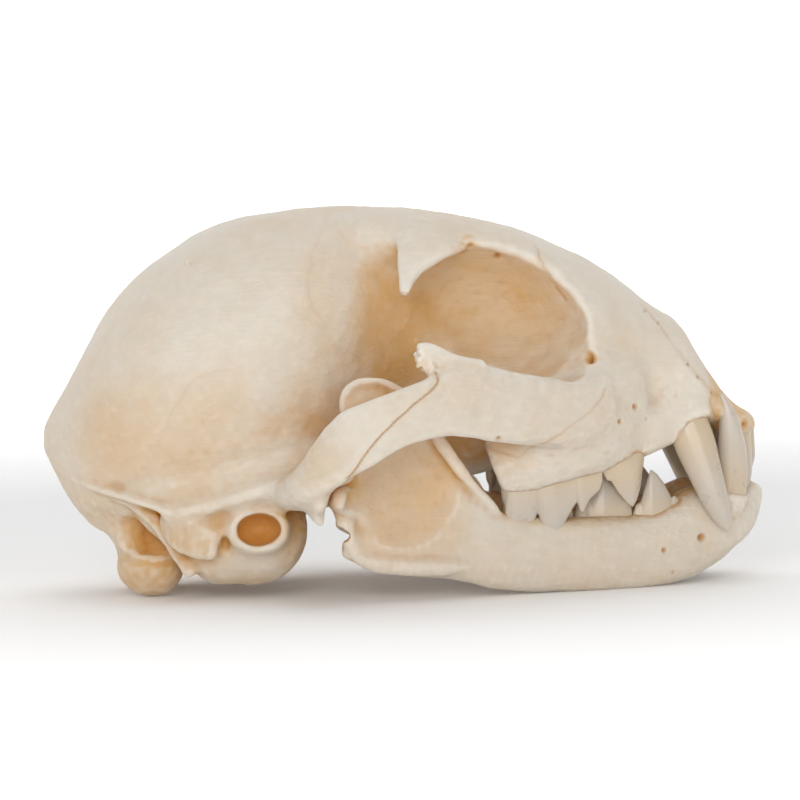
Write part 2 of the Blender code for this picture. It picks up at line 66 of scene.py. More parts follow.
# Sizes are in millimetres while a bone is shaped, and in metres once it is done
MILLIMETRE = 0.001
BRAIN_HALF_WIDTH = 28.6
ARCH_HALF_WIDTH = 45.3
CONDYLE_OFFSET = 9.5
CONDYLE_RADIUS = 5.6
UPPER_CANINE_OFFSET = 15.0
LOWER_CANINE_OFFSET = 11.3
SIDES = (-1, 1)
SIDE_NAMES = {-1: "right", 1: "left"}
# Narrowest place of the skull, behind the orbit
TEMPLE_WAIST = (-3.0, 14.0, 46.0)
# How far a point looks for open air, and in how many directions
OPEN_AIR = 45.0
LOOKS_ROUND = 32
# Points of a bone that look for open air, the others follow the nearest one
LOOKING_POINTS = 12000
# The paper glows least round this place behind the skull, which leaves a painted shadow there, in metres
PAINTED_SHADOW_CENTRE = (0, 0.14, 0)
# Width of the picture in pixels, which sets the lens
PICTURE_WIDTH = 800


def linear(hex_colour):
    # sRGB hex to the linear values that the shaders take
    parts = [int(hex_colour[i:i + 2], 16) / 255 for i in (1, 3, 5)]
    return tuple(c / 12.92 if c <= 0.04045 else ((c + 0.055) / 1.055) ** 2.4 for c in parts)


# Tools that make closed pieces
def object_from(bm, name):
    bmesh.ops.recalc_face_normals(bm, faces=bm.faces)
    mesh = bpy.data.meshes.new(name)
    bm.to_mesh(mesh)
    bm.free()
    made = bpy.data.objects.new(name, mesh)
    bpy.context.scene.collection.objects.link(made)
    return made


def spline(values, t):
    # Smooth curve through evenly spaced values, t from 0 to 1
    last = len(values) - 1
    place = min(max(t, 0.0), 1.0) * last
    i = min(int(place), last - 1)
    f = place - i
    a = values[max(i - 1, 0)]
    b = values[i]
    c = values[i + 1]
    d = values[min(i + 2, last)]
    return 0.5 * (2 * b + (c - a) * f + (2 * a - 5 * b + 4 * c - d) * f * f
                  + (3 * b - a - 3 * c + d) * f ** 3)


def rounded(angle, power):
    c = cos(angle)
    s = sin(angle)
    first = abs(c) ** (2.0 / power) * (1 if c >= 0 else -1)
    second = abs(s) ** (2.0 / power) * (1 if s >= 0 else -1)
    return first, second


def bell(away, width, power=2):
    # 1 in the middle, and falling off to both sides over the width
    return 2.718 ** (-(away / width) ** power)


def flute_depth(angle, flutes):
    # How far grooves along a tooth cut into its section at this angle
    cut = 0.0
    for middle, depth, spread in flutes:
        off = (angle - middle + pi) % (2 * pi) - pi
        cut += depth * bell(off, spread)
    return 1.0 - cut


def skin(name, place, around, spans):
    # A grid wrapped by the place function into a closed tube
    bm = bmesh.new()
    bmesh.ops.create_grid(bm, x_segments=around, y_segments=spans, size=1.0)
    for vert in bm.verts:
        vert.co = place(pi * (vert.co.x + 1), (vert.co.y + 1) / 2)
    bmesh.ops.remove_doubles(bm, verts=bm.verts, dist=0.0005)
    bmesh.ops.holes_fill(bm, edges=bm.edges, sides=0)
    return object_from(bm, name)


def limb(name, stations, power=2.0, around=36, per_span=6, lift=(0, 0, 1), level=False, flutes=()):
    # Skin over oval sections (x, y, z, half size across, half size along the lift axis)
    columns = [[s[k] for s in stations] for k in range(5)]
    up_axis = Vector(lift).normalized()

    def place(angle, t):
        centre = Vector([spline(columns[k], t) for k in range(3)])
        ahead = Vector([spline(columns[k], min(t + 0.01, 1)) for k in range(3)])
        behind = Vector([spline(columns[k], max(t - 0.01, 0)) for k in range(3)])
        along = Vector((0, 0, 1)) if level else (ahead - behind).normalized()
        across = along.cross(up_axis).normalized()
        upward = across.cross(along).normalized()
        c, s = rounded(angle, power)
        size = flute_depth(angle, flutes) if flutes else 1.0
        wide = max(spline(columns[3], t), 0.05) * size
        tall = max(spline(columns[4], t), 0.05) * size
        return centre + across * (wide * c) + upward * (tall * s)

    return skin(name, place, around, per_span * (len(stations) - 1))


def hull(name, stations, power=2.2, around=64, per_span=6):
    # Body along X over sections (x, top z, bottom z, half width, lean): lean widens the top
    columns = [[s[k] for s in stations] for k in range(5)]

    def place(angle, t):
        x, top, low, wide, lean = [spline(column, t) for column in columns]
        c, s = rounded(angle, power)
        return (x, wide * (1 + lean * s) * c, (top + low) / 2 + (top - low) / 2 * s)

    return skin(name, place, around, per_span * (len(stations) - 1))


def ball(name, centre, radii, turn=(0, 0, 0), detail=4):
    bm = bmesh.new()
    bmesh.ops.create_icosphere(bm, subdivisions=detail, radius=1.0)
    placed = (Matrix.Translation(centre) @ Euler([radians(a) for a in turn]).to_matrix().to_4x4()
              @ Matrix.Diagonal((*radii, 1)))
    bmesh.ops.transform(bm, matrix=placed, verts=bm.verts)
    return object_from(bm, name)


def block(name, centre, size):
    bm = bmesh.new()
    bmesh.ops.create_cube(bm, size=1.0)
    bmesh.ops.transform(bm, matrix=Matrix.Translation(centre) @ Matrix.Diagonal((*size, 1)),
                        verts=bm.verts)
    return object_from(bm, name)


def sided(stations, side):
    return [(s[0], s[1] * side, *s[2:]) for s in stations]


# Tools that join, carve and smooth a body
def settle(thing):
    shaped = thing.evaluated_get(bpy.context.evaluated_depsgraph_get())
    mesh = bpy.data.meshes.new_from_object(shaped)
    thing.modifiers.clear()
    old = thing.data
    thing.data = mesh
    bpy.data.meshes.remove(old)


def discard(things):
    for thing in things:
        mesh = thing.data
        bpy.data.objects.remove(thing)
        bpy.data.meshes.remove(mesh)


def merge(name, pieces):
    bm = bmesh.new()
    for piece in pieces:
        bm.from_mesh(piece.data)
    discard(pieces)
    mesh = bpy.data.meshes.new(name)
    bm.to_mesh(mesh)
    bm.free()
    made = bpy.data.objects.new(name, mesh)
    bpy.context.scene.collection.objects.link(made)
    return made


def melt(body, grain):
    change = body.modifiers.new("melt", "REMESH")
    change.mode = "VOXEL"
    change.voxel_size = grain
    settle(body)


def carve(body, cutters):
    group = bpy.data.collections.new("cutters")
    bpy.context.scene.collection.children.link(group)
    for cutter in cutters:
        group.objects.link(cutter)
    change = body.modifiers.new("carve", "BOOLEAN")
    change.operation = "DIFFERENCE"
    change.operand_type = "COLLECTION"
    change.solver = "MANIFOLD"
    change.collection = group
    settle(body)
    if not body.data.polygons:
        raise RuntimeError("a cut took the whole of " + body.name)
    discard(cutters)
    bpy.data.collections.remove(group)


def points_of(mesh):
    flat = np.empty(len(mesh.vertices) * 3, np.float32)
    mesh.vertices.foreach_get("co", flat)
    return flat.reshape(-1, 3).astype(np.float64)


def normals_of(mesh):
    flat = np.empty(len(mesh.vertices) * 3, np.float32)
    mesh.vertex_normals.foreach_get("vector", flat)
    return flat.reshape(-1, 3).astype(np.float64)


def set_points(mesh, points):
    mesh.vertices.foreach_set("co", points.astype(np.float32).ravel())
    mesh.update()


class Web:
    """The edges of a mesh, used to average values over each point's neighbours"""

    def __init__(self, mesh):
        flat = np.empty(len(mesh.edges) * 2, np.int32)
        mesh.edges.foreach_get("vertices", flat)
        self.a, self.b = flat.reshape(-1, 2).T
        self.size = len(mesh.vertices)
        self.count = (np.bincount(self.a, minlength=self.size)
                      + np.bincount(self.b, minlength=self.size)).clip(1)

    def mean(self, values):
        if values.ndim == 1:
            total = (np.bincount(self.a, weights=values[self.b], minlength=self.size)
                     + np.bincount(self.b, weights=values[self.a], minlength=self.size))
            return total / self.count
        return np.stack([self.mean(values[:, k]) for k in range(values.shape[1])], axis=1)

    def soften(self, values, times):
        for _ in range(times):
            values = 0.5 * values + 0.5 * self.mean(values)
        return values


def fill_creases(body, times, ridge_share):
    # Smooths hollows fully and ridges only by a share, so joins melt and edges stay
    mesh = body.data
    web = Web(mesh)
    points = points_of(mesh)
    for step in range(times):
        if step % 5 == 0:
            set_points(mesh, points)
            out = normals_of(mesh)
        shift = web.mean(points) - points
        rise = (shift * out).sum(1, keepdims=True)
        share = np.where(rise > 0, 1.0, ridge_share)
        points += 0.5 * (shift - out * rise * (1 - share))
    set_points(mesh, points)


def soften_near(body, centre, reach, times):
    # Rounds off all edges within reach of a place, on both sides of the skull
    web = Web(body.data)
    points = points_of(body.data)
    away = np.linalg.norm(np.abs(points) * (0, 1, 0) + points * (1, 0, 1) - centre, axis=1)
    share = smoothstep(reach, 0.6 * reach, away)[:, None] * 0.5
    for _ in range(times):
        points += share * (web.mean(points) - points)
    set_points(body.data, points)


def ripple(points, size, seed):
    # Soft random relief of about the given size in millimetres, from -1 to 1
    rng = np.random.default_rng(seed)
    count = 24
    way = rng.normal(size=(count, 3))
    way /= np.linalg.norm(way, axis=1, keepdims=True)
    way *= (2 * pi / size * rng.uniform(0.6, 1.5, count))[:, None]
    start = rng.uniform(0, 2 * pi, count)
    return np.sin(points @ way.T + start).sum(1) / (count ** 0.5) * 0.7


def smoothstep(low, high, values):
    t = ((values - low) / (high - low)).clip(0, 1)
    return t * t * (3 - 2 * t)


def near_path(flat, path):
    # Distance of each (x, z) point from a chain of points, below 0 on the right of its run
    path = np.array(path, dtype=float)
    reach = 4.0
    best = np.full(len(flat), 1e9)
    inside = np.nonzero(((flat > path.min(0) - reach) & (flat < path.max(0) + reach)).all(1))[0]
    some = flat[inside]
    nearest = np.full(len(some), 1e9)
    turn = np.ones(len(some))
    for p, q in zip(path[:-1], path[1:]):
        d = q - p
        t = (((some - p) @ d) / max(d @ d, 1e-9)).clip(0, 1)
        away = ((some - p - t[:, None] * d) ** 2).sum(1)
        closer = away < nearest
        nearest[closer] = away[closer]
        cross = d[0] * (some[:, 1] - p[1]) - d[1] * (some[:, 0] - p[0])
        turn[closer] = np.where(cross[closer] < 0, -1.0, 1.0)
    best[inside] = np.sqrt(nearest) * turn
    return best


def wander(path, step, sway, seed):
    # A chain of points through the path with the small zigzags of a suture
    rng = np.random.default_rng(seed)
    xs = [p[0] for p in path]
    zs = [p[1] for p in path]
    length = sum(((a[0] - b[0]) ** 2 + (a[1] - b[1]) ** 2) ** 0.5 for a, b in zip(path, path[1:]))
    count = max(int(length / step), 2)
    chain = []
    for i in range(count + 1):
        t = i / count
        fade = min(1.0, 4 * min(t, 1 - t) + 0.2)
        chain.append((spline(xs, t) + rng.uniform(-sway, sway) * fade,
                      spline(zs, t) + rng.uniform(-sway, sway) * fade))
    return chain


# Bones of the cranium
def brain_hull():
    return hull("brain_hull", [
        (-66.4, 31.0, 27.0, 5.0, 0), (-64.6, 34.5, 23.0, 10.0, 0), (-61.5, 39.5, 17.2, 14.5, 0),
        (-58.0, 46.0, 13.0, 18.5, 0), (-52.0, 55.2, 11.5, 23.5, 0), (-44.0, 62.2, 10.5, 27.0, 0),
        (-34.0, 67.8, 10.5, BRAIN_HALF_WIDTH, 0), (-24.0, 70.0, 12.0, BRAIN_HALF_WIDTH, 0),
        (-15.0, 70.9, 14.5, 26.6, 0), (-8.0, 71.0, 17.5, 22.6, 0.02), (-2.0, 70.5, 20.0, 18.0, 0.06),
        (5.0, 69.6, 22.0, 14.0, 0.1), (11.0, 68.6, 24.0, 11.0, 0.1)], power=2.15)


def orbit_core():
    return hull("orbit_core", [
        (-12.0, 68.5, 22.0, 12.0, 0.1), (-3.0, 69.8, 20.5, 14.2, 0.2), (7.0, 69.3, 20.5, 15.6, 0.25),
        (17.0, 67.2, 21.5, 17.0, 0.25), (26.0, 63.5, 22.0, 18.0, 0.2), (33.0, 60.0, 23.0, 17.0, 0.1)],
        power=2.3)


def frontal_roof():
    return hull("frontal_roof", [
        (-16.0, 70.0, 62.0, 10.0, 0), (-8.0, 70.7, 59.0, 16.5, 0), (0.0, 70.4, 57.0, 19.4, 0),
        (6.5, 69.6, 57.5, 19.8, 0), (13.0, 68.4, 57.5, 18.6, 0), (20.0, 66.7, 55.0, 18.2, 0),
        (27.0, 64.1, 50.0, 18.0, 0), (33.0, 61.0, 46.0, 16.5, 0)], power=2.3)


def snout():
    return hull("snout", [
        (17.0, 64.0, 26.0, 15.0, -0.1), (24.0, 64.8, 20.8, 23.5, -0.1), (30.0, 62.7, 20.6, 24.2, -0.1),
        (36.0, 59.7, 21.6, 21.6, -0.1), (41.0, 56.2, 23.2, 18.0, -0.1), (47.0, 51.3, 25.2, 16.6, -0.08),
        (52.0, 47.8, 27.4, 17.0, -0.08), (56.0, 41.0, 28.6, 16.2, -0.1), (60.0, 35.0, 28.0, 13.6, -0.1),
        (63.2, 31.4, 26.5, 10.0, -0.1), (64.9, 28.8, 26.8, 7.0, 0)], power=2.3)


def cheek_base(side):
    return limb("cheek_base", sided([
        (15.6, 24.5, 23.5, 2.4, 4.6), (18.5, 24.8, 24.5, 3.2, 6.4), (25.0, 23.6, 27.0, 4.6, 7.6),
        (31.0, 21.4, 30.0, 5.8, 9.6), (36.5, 18.0, 32.5, 6.0, 10.5), (42.0, 14.5, 33.0, 5.0, 10.0)],
        side), power=2.6)


def brow_horn(side):
    # Flat three-cornered spike that hangs from the frontal roof behind the orbit
    return limb("brow_horn", sided([
        (6.2, 14.8, 65.6, 7.6, 2.4), (4.6, 18.8, 64.1, 6.2, 2.2), (3.0, 21.9, 61.9, 4.0, 1.8),
        (1.5, 24.3, 59.4, 2.3, 1.5), (0.7, 26.2, 57.0, 1.4, 1.2), (0.2, 27.6, 55.0, 0.8, 0.9)],
        side), lift=(0.1, 0.62 * side, 0.78))


def cheek_arch(side):
    wide = ARCH_HALF_WIDTH
    return limb("cheek_arch", sided([
        (-21.0, 27.0, 19.6, 4.4, 3.0), (-19.6, 33.0, 20.4, 4.0, 3.2), (-17.8, 38.4, 22.0, 3.2, 3.6),
        (-14.4, wide - 2.4, 26.0, 2.2, 4.6), (-10.0, wide - 0.4, 29.7, 2.0, 5.5),
        (-5.4, wide, 32.1, 1.9, 5.3), (-1.0, wide - 1.0, 33.8, 1.9, 5.1), (4.0, wide - 2.8, 35.0, 2.0, 5.4),
        (8.0, wide - 4.6, 36.0, 2.1, 6.3), (12.0, wide - 6.8, 36.0, 2.2, 6.8),
        (17.0, wide - 10.0, 34.8, 2.6, 6.6), (23.0, wide - 14.2, 33.8, 3.4, 6.4),
        (29.0, wide - 18.6, 33.0, 4.6, 6.5), (35.0, wide - 24.0, 33.5, 5.0, 7.2)], side), power=2.4)


def cheek_horn(side):
    # Flat plate of the cheek bone that stands up behind the orbit, cut off short
    return limb("cheek_horn", sided([
        (12.0, 38.2, 39.4, 1.7, 4.4), (8.0, 39.8, 41.6, 1.4, 3.0), (5.0, 40.6, 43.3, 1.25, 2.7),
        (2.6, 41.2, 44.6, 1.1, 2.4), (1.5, 41.5, 45.0, 0.8, 1.9)], side), power=2.8)


def joint_shelf(side):
    # Cross plate over the jaw joint, with the sharp hook behind it
    return [
        limb("joint_shelf", sided([
            (-17.0, 22.0, 21.5, 6.4, 3.2), (-15.4, 28.0, 22.6, 6.0, 2.4),
            (-14.4, 36.0, 23.4, 5.0, 2.2), (-14.2, 42.0, 24.0, 3.0, 2.2)], side)),
        limb("joint_hook", sided([
            (-17.6, 25.0, 19.6, 1.8, 3.2), (-17.0, 31.0, 19.4, 1.7, 3.4),
            (-16.4, 37.0, 19.4, 1.7, 3.5), (-15.9, 41.0, 20.4, 1.6, 2.9)], side), power=1.5),
        limb("hook_tip", sided([
            (-17.4, 35.5, 19.4, 2.3, 2.2), (-16.6, 36.4, 17.0, 1.6, 1.7), (-15.9, 37.0, 15.0, 0.9, 1.0),
            (-15.3, 37.2, 13.6, 0.25, 0.35)], side), lift=(0, 1, 0)),
    ]


def ear_ridge(side):
    # Ledge from the root of the arch back over the ear, and the slopes above and behind it
    return [
        limb("ear_ridge", sided([
            (-44.0, 24.2, 16.4, 1.5, 1.7), (-38.0, 26.4, 17.2, 2.2, 1.8), (-32.0, 27.6, 18.9, 2.6, 1.7),
            (-26.0, 28.9, 20.5, 2.9, 1.8), (-20.0, 31.4, 21.8, 3.4, 2.2)], side)),
        limb("ear_slope", sided([
            (-50.0, 19.5, 21.0, 2.5, 3.0), (-44.0, 22.2, 21.6, 3.4, 4.0), (-36.0, 24.0, 22.6, 4.0, 4.6),
            (-27.0, 25.0, 24.0, 4.4, 5.0), (-20.0, 25.4, 24.8, 4.0, 4.6),
            (-13.0, 23.4, 26.0, 2.0, 2.6)], side)),
        limb("ear_rear", sided([
            (-43.0, 19.5, 15.2, 2.6, 3.0), (-38.5, 22.0, 14.8, 2.8, 3.6), (-34.0, 23.2, 15.0, 2.6, 3.8),
            (-29.5, 22.5, 15.4, 2.0, 3.0)], side)),
    ]


def neck_crest(side):
    # Sharp line across the back of the skull, and the second one that leaves it for the ear spike
    upper = sided([
        (-65.2, -1.0, 28.0, 1.4, 1.7), (-64.3, 6.0, 25.9, 1.2, 1.2), (-60.6, 12.6, 22.8, 1.1, 1.0),
        (-55.0, 18.3, 20.6, 1.1, 0.9), (-49.0, 22.6, 18.8, 1.1, 0.9), (-43.0, 25.2, 16.8, 1.2, 1.0),
        (-38.4, 26.5, 14.8, 1.2, 1.2)], side)
    lower = sided([
        (-58.0, 14.6, 21.4, 0.9, 0.9), (-53.6, 17.6, 19.6, 0.9, 0.9), (-49.8, 18.6, 17.8, 1.0, 0.9),
        (-46.8, 18.4, 15.6, 1.1, 1.0)], side)
    return [limb("neck_crest", upper, power=1.6), limb("neck_line", lower, power=1.6)]


def mastoid(side):
    # Flat rough plate behind the ear
    return limb("mastoid", sided([
        (-44.0, 20.5, 15.2, 1.8, 2.4), (-40.6, 24.0, 12.9, 1.8, 3.6), (-37.2, 25.8, 11.4, 1.6, 3.4),
        (-35.2, 26.4, 10.8, 1.4, 3.0), (-34.2, 26.6, 10.6, 1.2, 2.7)], side), power=3.2)


def ear_spike(side):
    # Flat strip with a squared end that runs down from the second neck line, and its thick root
    return [
        limb("ear_spike", sided([
            (-49.6, 18.4, 17.8, 1.0, 1.0), (-46.4, 18.2, 15.4, 1.3, 1.2), (-43.5, 18.7, 12.0, 1.5, 1.2),
            (-41.5, 19.4, 8.6, 1.45, 1.0), (-40.1, 20.0, 5.8, 1.3, 0.85), (-39.7, 20.1, 4.2, 1.2, 0.8)],
            side), lift=(0, 1, 0.3), power=3.0),
        limb("spike_root", sided([
            (-48.0, 14.0, 17.0, 2.2, 2.8), (-44.4, 15.6, 13.2, 2.0, 3.0), (-41.9, 17.2, 9.4, 1.4, 2.2),
            (-40.8, 18.4, 7.0, 0.9, 1.4)], side), lift=(0, 1, 0.3)),
    ]


def neck_condyle(side):
    return ball("neck_condyle", (-46.9, CONDYLE_OFFSET * side, 5.8), (6.4, 5.3, CONDYLE_RADIUS + 0.2),
                (0, 10, 12 * side))


def condyle_stem(side):
    return limb("condyle_stem", sided([
        (-57.0, 6.6, 15.6, 3.2, 2.6), (-53.2, 8.2, 13.6, 3.4, 2.8), (-48.6, 9.4, 9.4, 4.2, 4.0),
        (-44.0, 9.6, 8.6, 4.4, 4.0), (-38.0, 9.0, 12.0, 4.0, 4.0)], side))


def condyle_rim(side):
    # Raised edge of the joint knob, up its rear side and over its top
    return limb("condyle_rim", sided([
        (-50.4, 12.4, 15.6, 0.5, 0.6), (-51.8, 12.2, 12.4, 0.6, 0.7), (-51.6, 12.4, 9.6, 0.6, 0.7),
        (-49.0, 14.0, 8.0, 0.6, 0.6), (-45.4, 14.4, 7.3, 0.6, 0.6), (-42.3, 13.2, 7.6, 0.5, 0.5)],
        side), around=16)


def condyle_hollow(side):
    # Pit between the joint knob and the ear spike
    return ball("condyle_hollow", (-46.6, 16.6 * side, 12.2), (5.2, 5.8, 4.7), (0, 14, 0))


def palate_wing(side):
    return limb("palate_wing", sided([
        (-14.0, 8.8, 17.4, 1.4, 2.6), (-9.0, 8.8, 20.0, 1.4, 4.2), (-2.0, 8.8, 24.0, 1.6, 4.8),
        (5.0, 9.0, 25.8, 2.4, 4.8), (11.5, 9.4, 26.0, 4.2, 5.3), (18.0, 10.5, 27.5, 5.0, 5.0)], side))


def incisor_bar():
    return limb("incisor_bar", [
        (59.6, -10.5, 29.4, 3.0, 2.6), (62.6, -7.4, 29.0, 2.6, 2.6), (63.5, 0.0, 28.6, 2.6, 2.6),
        (62.6, 7.4, 29.0, 2.6, 2.6), (59.6, 10.5, 29.4, 3.0, 2.6)])


def ear_capsule(side):
    return [
        ball("ear_capsule", (-28.6, 17.2 * side, 12.4), (11.0, 8.8, 10.0), (0, 4, 18 * side)),
        ball("capsule_rear", (-33.4, 17.6 * side, 9.4), (7.0, 6.6, 6.8), (0, 10, 0)),
        limb("ear_collar", sided([
            (-27.0, 20.0, 13.3, 6.6, 5.6), (-26.9, 25.0, 13.3, 6.2, 5.1),
            (-26.8, 28.0, 13.3, 5.5, 4.3), (-26.8, 28.9, 13.3, 4.6, 3.5)], side)),
    ]


def ear_notch(side):
    # Slot between the ear rim and the plate behind it
    return ball("ear_notch", (-32.9, 27.2 * side, 10.3), (0.95, 3.6, 2.3))


def canine_boss(side):
    # Bone sleeve round the root of the upper canine, down to the gum line, and the sill behind it
    off = UPPER_CANINE_OFFSET
    return [
        limb("canine_boss", sided([
            (48.4, off - 4.6, 44.0, 2.4, 2.2), (49.8, off - 2.8, 39.0, 4.0, 3.2),
            (51.5, off - 1.3, 33.6, 4.5, 3.8), (52.8, off - 0.2, 29.6, 4.4, 3.6)], side),
            lift=(0, 1, 0), power=2.3),
        limb("canine_sill", sided([
            (40.0, 17.6, 28.6, 2.6, 4.6), (43.4, 16.8, 28.4, 2.8, 4.3), (46.6, 15.8, 29.2, 2.8, 4.0),
            (50.6, 15.0, 30.6, 2.8, 3.6)], side), power=2.6),
    ]


def orbit_hollow(side):
    # Bowl of the orbit and its lower front corner
    return [
        ball("orbit_hollow", (16.0, 25.0 * side, 51.4), (18.9, 15.0, 12.8), (0, 15, 0)),
        ball("orbit_corner", (29.4, 27.5 * side, 45.0), (6.3, 8.4, 6.4)),
    ]


def temple_hollow(side):
    # Waist of the skull behind the orbit, open to it
    return ball("temple_hollow", (3.0, 29.0 * side, 45.5), (11.5, 15.4, 14.5), (0, 8, 0))


def nose_hollow():
    return ball("nose_hollow", (57.6, 0, 41.8), (15.0, 8.0, 8.2), (0, -35, 0))


def inner_nostril():
    return limb("inner_nostril", [
        (-22.0, 0, 10.0, 5.0, 4.0), (-10.0, 0, 15.5, 5.6, 6.0), (2.0, 0, 19.0, 5.8, 7.0),
        (12.0, 0, 21.0, 6.0, 6.0), (17.0, 0, 22.0, 3.0, 3.0)])


def palate_hollow():
    return ball("palate_hollow", (38.0, 0, 19.5), (25.0, 14.0, 6.4), (0, -7, 0))


def neck_opening():
    return limb("neck_opening", [
        (-68.0, 0, 8.5, 6.8, 5.6), (-58.0, 0, 11.5, 7.0, 5.6), (-48.0, 0, 14.0, 6.6, 5.4),
        (-38.0, 0, 18.0, 5.0, 4.6)])


def ear_hole(side):
    return ball("ear_hole", (-26.8, 27.8 * side, 13.4), (4.1, 4.8, 3.05))


def cranium_body():
    # Each melt has a grain in millimetres, finest at the end, so that thin pieces keep their form
    body = merge("cranium", [brain_hull(), orbit_core(), frontal_roof(), snout(), incisor_bar()])
    melt(body, 0.7)
    carve(body, [cutter for side in SIDES for cutter in (*orbit_hollow(side), temple_hollow(side))])
    limbs = []
    for side in SIDES:
        limbs += [cheek_base(side), cheek_arch(side), brow_horn(side), *canine_boss(side)]
        limbs += [condyle_stem(side), neck_condyle(side), palate_wing(side), mastoid(side)]
        limbs += [*ear_ridge(side), *ear_capsule(side), *joint_shelf(side)]
    soften_near(body, TEMPLE_WAIST, 15.0, 60)
    body = merge("cranium", [body, *limbs])
    melt(body, 0.6)
    carve(body, [nose_hollow(), inner_nostril(), palate_hollow(), neck_opening(),
                 *[condyle_hollow(side) for side in SIDES]])
    melt(body, 0.55)
    fill_creases(body, 24, 0.03)
    fine = [body]
    for side in SIDES:
        fine += [cheek_horn(side), condyle_rim(side), *ear_spike(side), *neck_crest(side)]
    body = merge("cranium", fine)
    melt(body, 0.42)
    cutters = []
    for side in SIDES:
        cutters += [ear_hole(side), ear_notch(side), *orbit_hollow(side)]
    carve(body, cutters)
    melt(body, 0.5)
    soften_near(body, TEMPLE_WAIST, 13.0, 70)
    body = merge("cranium", [body, *[brow_horn(side) for side in SIDES]])
    melt(body, 0.36)
    fill_creases(body, 8, 0.1)
    return body


# Lower jaw
def jaw_body(side):
    return limb("jaw_body", sided([
        (64.8, 3.6, 17.6, 3.0, 1.6), (63.2, 4.6, 15.2, 4.6, 3.2), (60.0, 6.2, 12.2, 6.4, 5.2),
        (55.8, 8.2, 10.9, 6.2, 7.5), (50.5, 11.4, 8.3, 4.9, 7.6), (43.5, 14.8, 6.6, 4.1, 6.8),
        (34.5, 18.4, 6.6, 3.9, 6.8), (25.0, 21.4, 7.0, 3.8, 6.9), (16.5, 24.0, 8.2, 3.5, 7.0),
        (9.0, 26.4, 9.6, 2.9, 6.6), (1.0, 28.6, 9.6, 2.4, 5.4), (-7.0, 30.4, 9.6, 2.2, 3.6),
        (-12.0, 31.2, 10.0, 1.5, 1.8)], side), power=2.3)


def jaw_chin(side):
    return limb("jaw_chin", sided([
        (64.6, 2.0, 17.4, 2.6, 1.4), (62.2, 2.6, 13.2, 3.2, 3.8), (57.6, 3.2, 9.6, 4.4, 5.4),
        (52.0, 4.4, 7.6, 5.0, 5.0), (47.0, 7.0, 6.6, 4.0, 4.0)], side), power=2.3)


def jaw_ramus(side):
    return limb("jaw_ramus", sided([
        (5.0, 26.9, 6.0, 9.5, 1.9), (2.8, 27.5, 10.0, 14.4, 2.2), (2.2, 28.4, 16.0, 14.6, 2.2),
        (-0.2, 29.6, 22.0, 12.0, 2.0), (-2.2, 30.9, 28.0, 8.8, 1.7), (-4.2, 32.1, 34.0, 7.4, 1.4),
        (-6.2, 33.0, 38.0, 5.0, 1.2), (-6.4, 33.2, 39.8, 2.2, 0.9)], side), lift=(0.21 * side, 1, 0),
        power=2.3, level=True)


def jaw_rims(side):
    # Raised borders round the hollow where the chewing muscle sat
    return [
        limb("rear_rim", sided([
            (-12.6, 31.8, 18.4, 1.4, 1.7), (-11.4, 32.2, 14.6, 1.4, 1.6), (-10.2, 32.0, 10.6, 1.4, 1.7),
            (-7.6, 31.6, 7.8, 1.4, 1.7), (-2.0, 31.2, 6.4, 1.5, 1.7), (5.0, 29.5, 5.9, 1.5, 1.6),
            (11.0, 27.3, 5.8, 1.3, 1.2), (16.0, 25.2, 6.2, 1.0, 0.9)], side), around=16),
        limb("front_rim", sided([
            (-1.6, 33.6, 38.4, 0.8, 0.8), (2.6, 32.4, 33.6, 0.9, 1.0), (6.0, 31.4, 28.4, 1.0, 1.1),
            (8.8, 30.4, 24.2, 1.1, 1.2), (12.0, 28.8, 20.0, 1.1, 1.1), (15.0, 26.6, 16.6, 1.0, 0.9),
            (17.0, 24.8, 13.6, 0.8, 0.6)], side), around=16),
        limb("top_rim", sided([
            (-11.4, 33.4, 34.0, 0.7, 0.7), (-11.0, 34.0, 37.4, 0.8, 0.8), (-8.6, 34.3, 39.6, 0.8, 0.8),
            (-4.8, 34.2, 39.8, 0.8, 0.8), (-1.6, 33.6, 38.4, 0.7, 0.7)], side), around=16),
    ]


def canine_socket(side):
    # Bone sleeve round the root of the lower canine
    off = LOWER_CANINE_OFFSET
    return limb("canine_socket", sided([
        (55.6, off - 3.6, 5.4, 2.8, 2.6), (58.0, off - 1.8, 10.4, 3.5, 3.0),
        (59.5, off - 0.6, 14.4, 3.6, 3.1), (60.1, off - 0.2, 17.0, 3.6, 3.0)],
        side), lift=(0, 1, 0), power=2.3)


def jaw_condyle(side):
    return limb("jaw_condyle", sided([
        (-12.2, 23.6, 18.6, 1.6, 1.8), (-12.3, 26.6, 18.8, 2.4, 2.7), (-12.2, 31.0, 19.0, 2.5, 2.8),
        (-12.1, 35.4, 19.0, 2.3, 2.5), (-12.0, 37.8, 19.0, 1.5, 1.6)], side))


def jaw_neck(side):
    return limb("jaw_neck", sided([
        (-12.0, 32.0, 18.0, 4.6, 2.2), (-8.0, 31.6, 18.0, 3.6, 2.6), (-2.0, 31.0, 18.0, 1.4, 2.2)],
        side))


def chewing_hollow(side):
    return ball("chewing_hollow", (0.6, 34.8 * side, 18.8), (12.6, 6.1, 11.2), (0, -24, -12 * side))


def angle_notch(side):
    # Notch over the hooked rear corner of the jaw
    return ball("angle_notch", (-13.2, 31.0 * side, 12.6), (2.8, 5.0, 1.5), (0, 12, 0))


